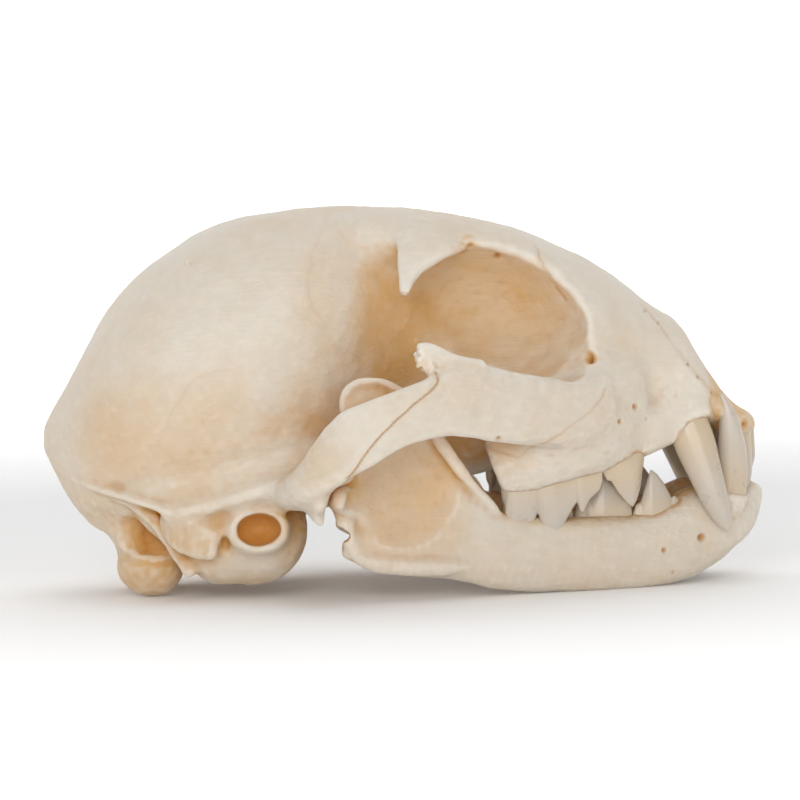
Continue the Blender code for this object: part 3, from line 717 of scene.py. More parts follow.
def jaw_shape(side):
    # One half of the jaw, cut flat at the middle and cleared of the upper canine
    body = merge("mandible", [jaw_body(side), jaw_chin(side), jaw_ramus(side), jaw_condyle(side),
                              jaw_neck(side), canine_socket(side)])
    melt(body, 0.6)
    carve(body, [chewing_hollow(side), block("middle", (50, -10 * side, 10), (80, 20.3, 60))])
    melt(body, 0.5)
    fill_creases(body, 20, 0.04)
    body = merge("mandible", [body, *jaw_rims(side)])
    melt(body, 0.42)
    fill_creases(body, 5, 0.06)
    carve(body, [upper_canine(side, 0.3), angle_notch(side)])
    melt(body, 0.36)
    fill_creases(body, 4, 0.1)
    return body


# Teeth
def cusp(foot, tip, along, across, crown, power):
    foot = Vector(foot)
    tip = Vector(tip)
    stations = []
    for t, size in ((0.0, 1.0), (0.35, 0.92), (0.7, crown), (0.92, crown * 0.42), (1.0, 0.06)):
        at = foot.lerp(tip, t)
        stations.append((at.x, at.y, at.z, along * size, across * size))
    return limb("cusp", stations, around=32, per_span=5, lift=(0.05, 1, 0), power=power)


def blade(side, edge, root, rear_y, front_y, wide):
    # Cutting tooth: its edge as (x, z) points from rear to front, and the height of its root
    xs = [p[0] for p in edge]
    zs = [p[1] for p in edge]
    tallest = max(abs(z - root) for z in zs)
    last = len(edge) - 1

    def place(angle, t):
        k = min(int(t * last), last - 1)
        f = t * last - k
        x = xs[k] + (xs[k + 1] - xs[k]) * f
        tip = zs[k] + (zs[k + 1] - zs[k]) * f
        share = (x - xs[0]) / (xs[-1] - xs[0])
        c, s = rounded(angle, 2.0)
        high = (s + 1) / 2
        plan = max(1 - abs(2 * share - 1) ** 4, 0.02) ** 0.5
        bulge = 0.5 + 0.5 * (abs(tip - root) / tallest) ** 2
        thick = wide * (0.45 + 0.55 * high) * plan * bulge
        y = (rear_y + (front_y - rear_y) * share) * side
        return (x, y + thick * c, tip + (root - tip) * high)

    return skin("blade", place, 28, 5 * last)


UPPER_BLADES = (
    # (cutting edge, root height, y at the rear, y at the front, half width)
    (((17.6, 17.4), (17.7, 14.0), (18.0, 11.8), (19.2, 10.2), (20.6, 11.5), (22.4, 12.5),
      (23.0, 13.4), (23.6, 14.7), (24.2, 12.8), (24.8, 11.3), (25.6, 10.8), (26.8, 9.9),
      (28.4, 12.4), (30.0, 15.2), (30.9, 16.4), (31.4, 14.7), (32.0, 14.5), (33.2, 16.8),
      (35.1, 18.4), (35.7, 20.2)), 22.6, 24.9, 21.4, 2.3),
    (((35.6, 21.8), (36.6, 20.0), (37.3, 19.9), (38.7, 17.6), (40.2, 15.8), (41.3, 14.8),
      (42.2, 16.2), (42.9, 18.5), (43.4, 21.7), (43.7, 23.6)), 26.4, 20.9, 17.7, 2.0),
)
LOWER_BLADES = (
    (((41.6, 13.4), (42.2, 15.2), (43.1, 15.6), (43.9, 18.1), (45.1, 21.6), (46.3, 20.6),
      (47.5, 19.0), (48.4, 17.3), (48.9, 16.2), (49.6, 16.5), (50.3, 15.8), (50.6, 14.4)),
     9.6, 15.9, 13.6, 1.9),
    (((30.8, 13.6), (31.3, 15.8), (32.4, 17.4), (33.6, 16.8), (35.0, 19.8), (36.2, 21.4),
      (37.6, 19.8), (38.9, 18.2), (40.2, 17.5), (41.2, 15.4), (41.5, 13.4)), 8.6, 17.6, 15.9, 2.0),
    (((20.0, 13.4), (20.5, 17.4), (21.6, 20.0), (23.4, 18.0), (24.8, 16.4), (26.2, 18.4),
      (27.6, 20.2), (29.2, 17.8), (30.2, 15.4), (30.6, 13.2)), 8.6, 19.4, 17.9, 1.7),
)


def upper_cheek_teeth(side):
    crowns = [blade(side, *sizes) for sizes in UPPER_BLADES]
    return [*crowns, cusp((17.9, 23.7 * side, 21.5), (18.2, 24.0 * side, 15.7), 1.1, 1.6, 0.85, 2.0)]


def lower_cheek_teeth(side):
    return [blade(side, *sizes) for sizes in LOWER_BLADES]


def incisor_row(side, rows):
    # rows of (offset from the middle, x, foot z, tip z, half width)
    return [cusp((x - 0.6, off * side, foot), (x, (off + 0.2) * side, tip), 1.5, wide, 0.8, 2.2)
            for off, x, foot, tip, wide in rows]


def upper_incisor_cusps():
    rows = ((1.5, 65.0, 28.5, 20.6, 1.25), (4.2, 64.7, 28.5, 20.0, 1.4), (7.5, 63.7, 28.6, 16.8, 1.95))
    return incisor_row(-1, rows) + incisor_row(1, rows)


def lower_incisor_cusps(side):
    return incisor_row(side, ((1.45, 63.6, 14.5, 20.6, 1.1), (3.9, 63.4, 14.5, 20.9, 1.2),
                              (6.4, 62.9, 14.5, 21.0, 1.3)))


def upper_canine(side, spare=0.0):
    off = UPPER_CANINE_OFFSET
    stations = [
        (49.4, off - 2.4, 38.0, 1.6, 1.5), (51.2, off - 1.2, 33.0, 3.2, 2.5), (53.0, off, 27.0, 3.8, 2.8),
        (55.0, off + 0.8, 20.8, 3.15, 2.5), (56.9, off + 1.4, 15.2, 2.35, 1.9),
        (58.1, off + 1.6, 12.0, 1.5, 1.25), (58.8, off + 1.7, 10.3, 0.5, 0.45)]
    stations = [(*s[:3], s[3] + spare, s[4] + spare) for s in stations]
    return limb("upper_canine", sided(stations, side), around=72, per_span=12, lift=(0, 1, 0),
                flutes=((pi / 2 + 0.5, 0.035, 0.14), (pi / 2 - 0.35, 0.03, 0.12),
                        (-pi / 2, 0.03, 0.14)))


def lower_canine(side):
    off = LOWER_CANINE_OFFSET
    return limb("lower_canine", sided([
        (57.4, off - 2.6, 6.0, 1.5, 1.4), (59.2, off - 1.4, 11.5, 2.7, 2.3),
        (60.2, off - 0.3, 17.0, 3.0, 2.4), (60.5, off + 0.7, 23.5, 2.75, 2.2),
        (60.0, off + 1.6, 29.4, 1.9, 1.7),
        (59.2, off + 2.0, 33.0, 1.0, 0.9), (58.4, off + 2.2, 34.9, 0.35, 0.35)], side), around=72,
        per_span=12, lift=(0, 1, 0),
        flutes=((pi / 2 + 0.7, 0.06, 0.15), (pi / 2, 0.05, 0.12), (pi / 2 - 0.8, 0.06, 0.16),
                (-pi / 2, 0.05, 0.15)))


def tooth_row(crowns):
    body = merge("row", crowns)
    fill_creases(body, 4, 0.4)
    return body


# Marks of the bone surface, as (x, z) points seen from the side
SUTURES = {
    # name: (points, depth, width, sway, least distance from the middle plane)
    "squamosal": ([(-46.0, 24.6), (-44.4, 26.6), (-43.4, 30.6), (-40.4, 36.9), (-36.6, 41.3), (-32.7, 41.8),
                   (-27.7, 42.7), (-20.5, 44.0), (-15.1, 43.1), (-12.5, 40.7), (-12.0, 37.0)],
                  0.045, 0.5, 0.5, 20.0),
    "coronal": ([(-12.7, 69.4), (-14.9, 64.9), (-16.9, 57.8), (-16.3, 53.3), (-14.0, 49.6),
                 (-12.3, 46.0), (-9.6, 44.7), (-7.0, 42.3)], 0.05, 0.5, 0.4, 6.0),
    "cheek": ([(36.1, 37.0), (35.0, 35.1), (32.8, 33.0), (29.5, 30.7), (27.0, 29.1), (25.0, 28.1),
               (22.2, 27.1), (20.0, 25.2), (16.8, 26.2), (14.5, 27.1)], 0.14, 0.3, 0.2, 19.0),
    "frontal": ([(23.8, 65.4), (25.2, 62.1), (26.4, 58.8), (28.2, 55.7), (30.1, 52.9)],
                0.12, 0.3, 0.3, 6.0),
    "nasal": ([(37.1, 59.5), (41.7, 55.6), (46.2, 50.1), (49.4, 44.9), (52.3, 40.7), (54.1, 38.3),
               (56.6, 35.3)], 0.10, 0.3, 0.2, 3.0),
    "premaxilla": ([(57.5, 34.9), (56.0, 33.9), (57.4, 30.7)], 0.12, 0.3, 0.15, 8.0),
    "hairline": ([(-53.9, 45.0), (-53.1, 46.2), (-53.6, 47.7), (-52.5, 49.1), (-51.4, 50.9),
                  (-52.1, 49.4)], 0.04, 0.2, 0.05, 15.0),
}
# Where the temple bone overlaps the cheek bone on the arch, from its tip down and back
ARCH_STEP = [(4.9, 41.4), (5.2, 40.0), (4.2, 38.6), (1.9, 36.9), (-1.0, 34.6), (-4.1, 31.8),
             (-7.0, 28.8), (-9.4, 25.4), (-11.0, 23.6)]
PITS = [
    # (x, z, radius, depth, least distance from the middle plane)
    (33.9, 42.5, 0.85, 1.6, 14.0), (12.8, 63.1, 0.45, 0.4, 8.0), (17.7, 61.0, 0.55, 0.5, 8.0),
    (42.0, 33.4, 0.5, 0.7, 12.0), (38.9, 30.9, 0.42, 0.5, 12.0), (44.1, 31.0, 0.3, 0.25, 12.0),
    (16.0, 29.2, 0.42, 0.5, 30.0), (45.3, 50.5, 0.3, 0.3, 5.0), (47.6, 48.2, 0.3, 0.3, 5.0),
    (52.3, 40.7, 0.34, 0.4, 5.0), (54.1, 38.3, 0.34, 0.4, 5.0), (56.6, 35.3, 0.3, 0.4, 5.0),
    (63.0, 29.1, 0.5, 0.6, 4.0), (-39.2, 61.1, 0.2, 0.15, 10.0), (-38.1, 61.1, 0.2, 0.15, 10.0),
]
JAW_PITS = [
    (54.3, 8.7, 0.75, 0.8, 8.0), (47.0, 6.8, 0.5, 0.5, 10.0), (48.7, 2.5, 0.3, 0.3, 8.0),
]
# Places where the bone is warmer from stain and from painted warm shade and glow, as (middle, reach along
# x, y and z, share of the warm colour)
WARM_STAIN_AND_SHADE_SPOTS = (
    (TEMPLE_WAIST, (11, 13, 16), 0.5), ((-14, 34, 21), (8, 14, 7), 0.25),
    ((-19, 23, 13), (8, 13, 11), 0.5), ((-28, 23, 1), (13, 13, 5), 0.3),
    ((14, 11, 31), (13, 14, 10), 0.7), ((-13, 41, 27), (9, 8, 7), 0.3),
    ((-40, 24, 9), (9, 8, 6), 0.3), ((-44, 24, 30), (24, 18, 14), 0.24),
    ((-11, 22, 55), (11, 16, 15), 0.2), ((-9, 32, 8), (11, 10, 9), 0.15),
    ((15, 12, 51), (19, 9, 12), 0.2),
)
# The hollow of the chewing muscle, warm from stain and painted shade
JAW_WARM_STAIN_AND_SHADE_SPOTS = (((0.5, 30, 18), (14, 9, 13), 0.34),)


def mark_sides(points, out, sutures, pits, seed):
    # Cut sutures and small openings into both outer sides, and say where they are
    push = np.zeros(len(points))
    line = np.zeros(len(points))
    flat = points[:, [0, 2]]
    for side in SIDES:
        outer = smoothstep(0.1, 0.45, out[:, 1] * side)
        for k, (path, depth, width, sway, least) in enumerate(sutures.values()):
            chain = wander(path, 0.9, sway, seed + 10 * k + side)
            away = near_path(flat, chain)
            held = outer * (points[:, 1] * side > least)
            patchy = 0.55 + 0.45 * smoothstep(-0.4, 0.5, ripple(points, 7.0, seed + 90 + k))
            cut = bell(away, width) * held * patchy
            push -= depth * cut
            line = np.maximum(line, cut * min(1.0, depth / 0.22))
        for x, z, radius, depth, least in pits:
            away = ((points[:, 0] - x) ** 2 + (points[:, 2] - z) ** 2) ** 0.5
            held = (out[:, 1] * side > 0.0) * (points[:, 1] * side > least)
            cut = bell(away, radius, 4) * held
            push -= depth * cut
            line = np.maximum(line, cut * min(1.0, depth / 0.5))
    return push, line


def shaded_hollows(body, web, others, seed):
    # How far the open air is shut off from each point, from 0 in the open to 1 deep inside
    points = points_of(body.data)
    out = normals_of(body.data)
    corners = [points]
    faces = [tuple(f.vertices) for f in body.data.polygons]
    for other in others:
        start = sum(len(c) for c in corners)
        corners.append(points_of(other.data) / MILLIMETRE)
        faces += [tuple(v + start for v in f.vertices) for f in other.data.polygons]
    tree = BVHTree.FromPolygons(np.concatenate(corners).tolist(), faces)
    rng = np.random.default_rng(seed)
    chosen = rng.choice(len(points), min(LOOKING_POINTS, len(points)), replace=False)
    # Even directions on a spiral over the whole sphere
    turn = np.arange(LOOKS_ROUND) * pi * (3 - 5 ** 0.5)
    rise = (np.arange(LOOKS_ROUND) + 0.5) / (LOOKS_ROUND / 2) - 1
    flat = np.sqrt(1 - rise ** 2)
    ways = np.stack([flat * np.cos(turn), flat * np.sin(turn), rise], axis=1)
    lookup = KDTree(len(chosen))
    found = np.empty(len(chosen))
    for row, i in enumerate(chosen):
        start = points[i] + out[i] * 0.15
        shut = 0.0
        for way in ways:
            hit = tree.ray_cast(start, way + out[i] * 1.02, OPEN_AIR)
            if hit[0] is not None:
                shut += 1.0 - 0.5 * hit[3] / OPEN_AIR
        found[row] = shut / len(ways)
        lookup.insert(points[i], row)
    lookup.balance()
    near = np.array([found[lookup.find(p)[1]] for p in points])
    return web.soften(near, 12)


def store(mesh, name, values):
    layer = mesh.attributes.new(name, "FLOAT", "POINT")
    layer.data.foreach_set("value", values.astype(np.float32))


def near_teeth(points, teeth, reach):
    # 1 on the bone that touches a tooth, 0 from the reach on
    close = np.zeros(len(points))
    for tooth in teeth:
        own = points_of(tooth.data)
        low = own.min(0) - reach
        high = own.max(0) + reach
        tree = BVHTree.FromObject(tooth, bpy.context.evaluated_depsgraph_get())
        for i in np.nonzero(((points > low) & (points < high)).all(1))[0]:
            hit = tree.find_nearest(points[i], reach)
            if hit[0] is not None:
                close[i] = max(close[i], 1 - hit[3] / reach)
    return close


def arch_overlap(points):
    # The temple bone stands a little proud of the cheek bone, with a groove along its edge
    away = near_path(points[:, [0, 2]], wander(ARCH_STEP, 0.8, 0.05, 5))
    held = (np.abs(points[:, 1]) > 36.5) * (np.abs(away) < 3.9)
    proud = np.where(away < 0, 0.34 * bell(away, 1.9), -0.1 * bell(away, 1.5))
    groove = bell(away, 0.22)
    return held * (proud - 0.3 * groove), held * groove * 0.9


def muscle_marks(points, seed):
    # Where the neck muscles held the back of the skull, and their fine upright flutes
    x, y, z = points.T
    back = smoothstep(22.5, 18, z + 0.42 * (x + 55).clip(-12, 14)) * smoothstep(-32, -37, x)
    back *= 1 - smoothstep(8.5, 6.5, z) * smoothstep(16, 13, np.abs(y))
    flutes = ripple(points * (1, 1, 0.22), 4.2, seed + 5)
    flutes += 0.4 * ripple(points * (1, 1, 0.3), 1.8, seed + 6)
    return back, back * flutes * 0.12


def frayed_bone(points, edge, seed):
    # The cut end of the cheek horn and the rims of the tooth sockets
    x, y, z = points.T
    horn = smoothstep(3.4, 1.6, x) * smoothstep(41.2, 42.2, z) * (np.abs(y) > 38)
    return ripple(points, 1.3, seed + 7) * (0.45 * horn + 0.05 * edge * (edge < 0.9))


def rough_skin(points, seed):
    # Rough skin of the bone over the cheek teeth and below the front of the arch
    x, y, z = points.T
    rough = smoothstep(12, 16, x) * smoothstep(41, 36, x) * smoothstep(31, 28, z) * (z > 18)
    grit = ripple(points * (0.45, 1, 1), 1.5, seed + 8) + 0.6 * ripple(points, 3.0, seed + 9)
    return grit * 0.035 * rough * (np.abs(y) > 18)


def orbit_folds(points, seed):
    # Faint folds on the inner wall of the orbit
    x, y, z = points.T
    wall = smoothstep(1.0, 0.6, ((x - 19) ** 2 / 13 ** 2 + (z - 47) ** 2 / 9 ** 2) ** 0.5)
    return ripple(points * (0.55, 1, 1), 5.0, seed + 12) * 0.16 * wall * (np.abs(y) < 20)


def stain_and_painted_shade(points, back, spots):
    # Warm stain together with painted warm shade and glow: in the low and rear parts, most of all on the
    # joint knobs, and in single spots
    x, y, z = points.T
    knob = smoothstep(9.0, 6.0, z) * smoothstep(-40, -42, x) * smoothstep(17.0, 15.0, np.abs(y))
    warm = 0.14 * smoothstep(52, 18, z) * smoothstep(-20, -30, x) + 0.14 * back + 0.45 * knob
    # Painted warm shade low at the front, and on the front of the snout beside the canine roots
    warm += 0.06 * smoothstep(16, 2, z) * (x > -14) + 0.85 * smoothstep(55.0, 58.0, x) * (z > 20)
    for place, reach, share in spots:
        away = np.linalg.norm((np.stack([x, np.abs(y), z], axis=1) - place) / reach, axis=1)
        warm += share * smoothstep(1.1, 0.4, away)
    return warm


def dress_bone(body, sutures, pits, teeth, others, seed):
    # Relief, sutures and pits, and the values that its material reads
    mesh = body.data
    web = Web(mesh)
    points = points_of(mesh)
    out = normals_of(mesh)
    push, line = mark_sides(points, out, sutures, pits, seed)
    if sutures:
        step, groove = arch_overlap(points)
        push += step
        line = np.maximum(line, groove)
    back, flutes = muscle_marks(points, seed)
    push += flutes
    push += frayed_bone(points, near_teeth(points, teeth, 3.0), seed)
    push += ripple(points, 15.0, seed + 1) * 0.14 + ripple(points, 5.5, seed + 2) * 0.07
    push += ripple(points, 2.2, seed + 3) * 0.03
    push += rough_skin(points, seed)
    if sutures:
        push += orbit_folds(points, seed)
    points += out * push[:, None]
    set_points(mesh, points)
    shut = shaded_hollows(body, web, others, seed + 4)
    bend = ((web.mean(points) - points) * normals_of(mesh)).sum(1)
    bend = web.soften(bend, 2)
    # Bone next to a tooth, which the material darkens as painted shade round the root
    root = near_teeth(points, teeth, 0.9)
    near_mark = smoothstep(0.01, 0.1, web.soften(line, 8))
    # How shut in each point is, which the material paints warm: partly stain, partly painted shade
    store(mesh, "hollow", shut)
    # Warm stain and painted warm shade and glow in low, rear and recessed places
    store(mesh, "warm", stain_and_painted_shade(points, back, WARM_STAIN_AND_SHADE_SPOTS if sutures else WARM_STAIN_AND_SHADE_SPOTS + JAW_WARM_STAIN_AND_SHADE_SPOTS))
    # Bend: the material paints shade into creases and a pale highlight onto ridges
    store(mesh, "crease", (bend / 0.02).clip(-1, 1) * (1 - near_mark))
    # Sutures and pits, and painted shade round the tooth roots
    store(mesh, "line", np.maximum(line, root * 0.9))


def finish_piece(body, name, nodes, paint):
    # Holds the piece inside the solids' box, turns it to metres and ties it to the frame
    low = [v / MILLIMETRE for v in SOLID_BOUNDS[0]]
    high = [v / MILLIMETRE for v in SOLID_BOUNDS[1]]
    points = points_of(body.data).clip(low, high) * MILLIMETRE
    set_points(body.data, points)
    body.data.shade_smooth()
    body.name = name
    body.data.name = name
    body.data.materials.clear()
    body.data.materials.append(paint)
    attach(body, "root")
    if nodes:
        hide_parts(*nodes)


# Materials
def add(tree, kind, settings=(), links=()):
    # One node with its settings and the sockets that feed it
    made = tree.nodes.new(kind)
    for key, value in dict(settings).items():
        if isinstance(key, int) or key in made.inputs:
            made.inputs[key].default_value = value
        else:
            setattr(made, key, value)
    for key, source in dict(links).items():
        tree.links.new(source, made.inputs[key])
    return made


def new_material(name):
    made = bpy.data.materials.new(name)
    made.use_nodes = True
    made.node_tree.nodes.clear()
    return made, made.node_tree


def blend(tree, share, first, second):
    # Mix of two colours, each a colour value or a socket
    made = add(tree, "ShaderNodeMix", {"data_type": "RGBA"}, {"Factor": share})
    for place, colour in ((6, first), (7, second)):
        if isinstance(colour, bpy.types.NodeSocket):
            tree.links.new(colour, made.inputs[place])
        else:
            made.inputs[place].default_value = (*colour, 1)
    return made.outputs[2]


def spread(tree, value, low, high, to_low=0.0, to_high=1.0):
    # A value stretched from one range onto another
    return add(tree, "ShaderNodeMapRange", {"From Min": low, "From Max": high, "To Min": to_low,
                                            "To Max": to_high}, {"Value": value}).outputs[0]


def bone_material():
    # Bone, macerated and bleached: chalky matte ivory, warm in hollows partly from stain and partly as
    # painted shade and glow, with painted shade in creases, pale painted highlights on ridges, and a little
    # light passes through its thin edges
    looks = bpy.context.scene.skull_looks
    made, tree = new_material("bleached_bone")
    place = add(tree, "ShaderNodeTexCoord").outputs["Object"]
    marks = {key: add(tree, "ShaderNodeAttribute", {"attribute_name": key}).outputs["Fac"]
             for key in ("hollow", "warm", "line", "crease")}
    # Cloudy colour patches about 12 mm wide, and finer mottling of about 2.5 mm
    clouds = add(tree, "ShaderNodeTexNoise", {"Scale": 1 / 0.012, "Detail": 4.0, "Roughness": 0.55},
                 {"Vector": place}).outputs["Fac"]
    mottle = add(tree, "ShaderNodeTexNoise", {"Scale": 1 / 0.0025, "Detail": 3.0},
                 {"Vector": place}).outputs["Fac"]
    # Pores about 0.9 mm apart, and the grain of the bone at about 0.6 mm
    pores = add(tree, "ShaderNodeTexVoronoi", {"Scale": 1 / 0.0009}, {"Vector": place}).outputs[0]
    grain = add(tree, "ShaderNodeTexNoise", {"Scale": 1 / 0.0006, "Detail": 5.0, "Roughness": 0.6},
                {"Vector": place}).outputs["Fac"]
    # Fibres lie along the skull, about 0.5 mm apart and eight times as long
    drawn = add(tree, "ShaderNodeMapping", {"Scale": (0.12, 1.0, 1.0)}, {"Vector": place}).outputs[0]
    fibres = add(tree, "ShaderNodeTexNoise", {"Scale": 1 / 0.0005, "Detail": 3.0, "Distortion": 0.6},
                 {"Vector": drawn}).outputs["Fac"]
    # Shallow streaks about 1.2 mm apart along the skull
    long_way = add(tree, "ShaderNodeMapping", {"Scale": (0.14, 1.0, 1.0)}, {"Vector": place}).outputs[0]
    streaks = add(tree, "ShaderNodeTexNoise", {"Scale": 1 / 0.0012, "Detail": 2.0, "Distortion": 0.4},
                  {"Vector": long_way}).outputs["Fac"]
    cloudy = spread(tree, clouds, 0.4, 0.72, 0.0, 0.22)
    total = add(tree, "ShaderNodeMath", {"operation": "ADD"},
                {0: spread(tree, marks["hollow"], 0.10, 0.56), 1: marks["warm"]}).outputs[0]
    warmth = add(tree, "ShaderNodeMath", {"operation": "ADD", "use_clamp": True},
                 {0: total, 1: cloudy}).outputs[0]
    # Warm tone in hollows and warm spots, partly stain and partly painted shade and glow, with random
    # cloudy patches of tone
    colour = blend(tree, warmth, looks.bone_light, looks.bone_warm)
    # Painted deep shade inside openings
    colour = blend(tree, spread(tree, marks["hollow"], 0.56, 0.86, 0.0, 1.0), colour, looks.bone_deep_shade)
    # Dark sutures, and painted shade in pits and on the bone round the tooth roots
    colour = blend(tree, spread(tree, marks["line"], 0.1, 1.0, 0.0, 0.85), colour, looks.bone_seam_and_shade)
    # Painted shade in creases
    colour = blend(tree, spread(tree, marks["crease"], 0.15, 1.0, 0.0, 0.4), colour, looks.bone_seam_and_shade)
    # Painted highlight on sharp ridges
    colour = blend(tree, spread(tree, marks["crease"], -0.12, -0.8, 0.0, 0.45), colour, looks.bone_edge_highlight)
    tint = add(tree, "ShaderNodeVectorMath", {"operation": "SCALE"},
               {0: colour, "Scale": spread(tree, mottle, 0.3, 0.75, 0.965, 1.03)}).outputs[0]
    first = add(tree, "ShaderNodeBump", {"Strength": 0.3, "Distance": 0.00006},
                {"Height": spread(tree, pores, 0.0, 0.35)}).outputs[0]
    second = add(tree, "ShaderNodeBump", {"Strength": 0.5, "Distance": 0.00015},
                 {"Height": grain, "Normal": first}).outputs[0]
    third = add(tree, "ShaderNodeBump", {"Strength": 0.6, "Distance": 0.00016},
                {"Height": fibres, "Normal": second}).outputs[0]
    fourth = add(tree, "ShaderNodeBump", {"Strength": 0.35, "Distance": 0.0005},
                 {"Height": mottle, "Normal": third}).outputs[0]
    fifth = add(tree, "ShaderNodeBump", {"Strength": 0.4, "Distance": 0.0003},
                {"Height": streaks, "Normal": fourth}).outputs[0]
    shader = add(tree, "ShaderNodeBsdfPrincipled", {
        "IOR": 1.5, "Subsurface Weight": 0.15, "Subsurface Radius": (1.0, 0.5, 0.22),
        "Subsurface Scale": 0.002, "Specular IOR Level": 0.4},
        {"Base Color": tint, "Roughness": spread(tree, mottle, 0.3, 0.7, 0.46, 0.62),
         "Normal": fifth})
    add(tree, "ShaderNodeOutputMaterial", {}, {"Surface": shader.outputs[0]})
    return made


def enamel_material():
    # Tooth enamel over dentine: smooth and harder than bone, with a soft gloss, cream with painted warm
    # shade at the neck and milky with a cool tone toward the tip
    looks = bpy.context.scene.skull_looks
    made, tree = new_material("tooth_enamel")
    place = add(tree, "ShaderNodeTexCoord").outputs["Object"]
    neck = add(tree, "ShaderNodeAttribute", {"attribute_name": "neck"}).outputs["Fac"]
    crease = add(tree, "ShaderNodeAttribute", {"attribute_name": "crease"}).outputs["Fac"]
    clouds = add(tree, "ShaderNodeTexNoise", {"Scale": 1 / 0.004, "Detail": 3.0},
                 {"Vector": place}).outputs["Fac"]
    # Growth lines run along the tooth, about 0.5 mm apart
    drawn = add(tree, "ShaderNodeMapping", {"Scale": (1.0, 1.0, 0.08)}, {"Vector": place}).outputs[0]
    lines = add(tree, "ShaderNodeTexNoise", {"Scale": 1 / 0.0006, "Detail": 2.0},
                {"Vector": drawn}).outputs["Fac"]
    # Cream toward the gum, with painted warm shade at the neck
    colour = blend(tree, neck, looks.enamel_tip, looks.enamel_neck_and_shade)
    # Painted shade in the creases of the teeth
    colour = blend(tree, spread(tree, crease, 0.5, 1.0, 0.0, 0.4), colour, looks.bone_seam_and_shade)
    colour = blend(tree, spread(tree, lines, 0.6, 0.8, 0.0, 0.18), colour, looks.enamel_neck_and_shade)
    tint = add(tree, "ShaderNodeVectorMath", {"operation": "SCALE"},
               {0: colour, "Scale": spread(tree, clouds, 0.3, 0.75, 0.975, 1.02)}).outputs[0]
    first = add(tree, "ShaderNodeBump", {"Strength": 0.25, "Distance": 0.00008},
                {"Height": lines}).outputs[0]
    second = add(tree, "ShaderNodeBump", {"Strength": 0.25, "Distance": 0.00025},
                 {"Height": clouds, "Normal": first}).outputs[0]
    shader = add(tree, "ShaderNodeBsdfPrincipled", {
        "IOR": 1.6, "Subsurface Weight": 0.25, "Subsurface Radius": (1.0, 0.7, 0.45),
        "Subsurface Scale": 0.0018, "Coat Weight": 0.12, "Coat Roughness": 0.25},
        {"Base Color": tint, "Roughness": spread(tree, clouds, 0.3, 0.7, 0.26, 0.38),
         "Normal": second})
    add(tree, "ShaderNodeOutputMaterial", {}, {"Surface": shader.outputs[0]})
    return made


def paper_material():
    # Matte white photo paper with a faint fibre, glowing where it is far off and not near the skull, which
    # leaves a painted shadow round it
    made, tree = new_material("white_paper")
    place = add(tree, "ShaderNodeTexCoord").outputs["Object"]
    fibre = add(tree, "ShaderNodeTexNoise", {"Scale": 1 / 0.0015, "Detail": 3.0},
                {"Vector": place}).outputs["Fac"]
    shaded = add(tree, "ShaderNodeVectorMath", {"operation": "SUBTRACT", 1: PAINTED_SHADOW_CENTRE}, {0: place})
    far = add(tree, "ShaderNodeVectorMath", {"operation": "LENGTH"},
              {0: shaded.outputs[0]}).outputs["Value"]
    shader = add(tree, "ShaderNodeBsdfPrincipled", {
        "Base Color": (0.93, 0.93, 0.93, 1), "Emission Color": (1, 1, 1, 1)},
        {"Roughness": spread(tree, fibre, 0.0, 1.0, 0.85, 0.95),
         # No glow within 0.12 m of the shadow centre, rising to full glow at 0.6 m: a painted shadow
         "Emission Strength": spread(tree, far, 0.12, 0.6, 0.0, 0.6)})
    add(tree, "ShaderNodeOutputMaterial", {}, {"Surface": shader.outputs[0]})
    return made


def kept_material(name, maker):
    return bpy.data.materials.get(name) or maker()


def dress_teeth(body, gum, tip):
    # The neck value runs from 0 at the tip to 1 at the gum
    mesh = body.data
    web = Web(mesh)
    points = points_of(mesh)
    bend = web.soften(((web.mean(points) - points) * normals_of(mesh)).sum(1), 2)
    store(mesh, "neck", smoothstep(tip, gum, points[:, 2]))
    store(mesh, "crease", (bend / 0.012).clip(-1, 1))


# Operators, one for each piece or group of like pieces
class SKULL_OT_cranium(bpy.types.Operator):
    """Builds the cranium with its cheek arches and ear capsules"""
    bl_idname = "skull.cranium"
    bl_label = "Cranium"

    def execute(self, context):
        body = cranium_body()
        teeth = [upper_canine(side) for side in SIDES]
        teeth += [tooth_row(upper_cheek_teeth(side)) for side in SIDES]
        dress_bone(body, SUTURES, PITS, teeth, [], 11)
        discard(teeth)
        nodes = ["braincase", "face"]
        for side in SIDES:
            nodes += ["zygomatic_arch_" + SIDE_NAMES[side], "auditory_bulla_" + SIDE_NAMES[side]]
        finish_piece(body, "cranium", nodes, kept_material("bleached_bone", bone_material))
        return {"FINISHED"}


class SKULL_OT_jaws(bpy.types.Operator):
    """Builds the two lower jaw bones"""
    bl_idname = "skull.jaws"
    bl_label = "Lower Jaws"

    def execute(self, context):
        for side in SIDES:
            body = jaw_shape(side)
            teeth = [lower_canine(side), tooth_row(lower_cheek_teeth(side))]
            dress_bone(body, {}, JAW_PITS, teeth, [bpy.data.objects["cranium"]], 31)
            discard(teeth)
            finish_piece(body, "lower_jaw_" + SIDE_NAMES[side], ["mandible_" + SIDE_NAMES[side]],
                         kept_material("bleached_bone", bone_material))
        return {"FINISHED"}


class SKULL_OT_canines(bpy.types.Operator):
    """Builds the four canine teeth"""
    bl_idname = "skull.canines"
    bl_label = "Canine Teeth"

    def execute(self, context):
        enamel = kept_material("tooth_enamel", enamel_material)
        for side in SIDES:
            for maker, name, gum, tip in ((upper_canine, "upper_canine_", 29.0, 16.0),
                                          (lower_canine, "lower_canine_", 15.0, 29.0)):
                body = maker(side)
                dress_teeth(body, gum, tip)
                node = name + SIDE_NAMES[side]
                finish_piece(body, node + "_enamel", [node], enamel)
        return {"FINISHED"}


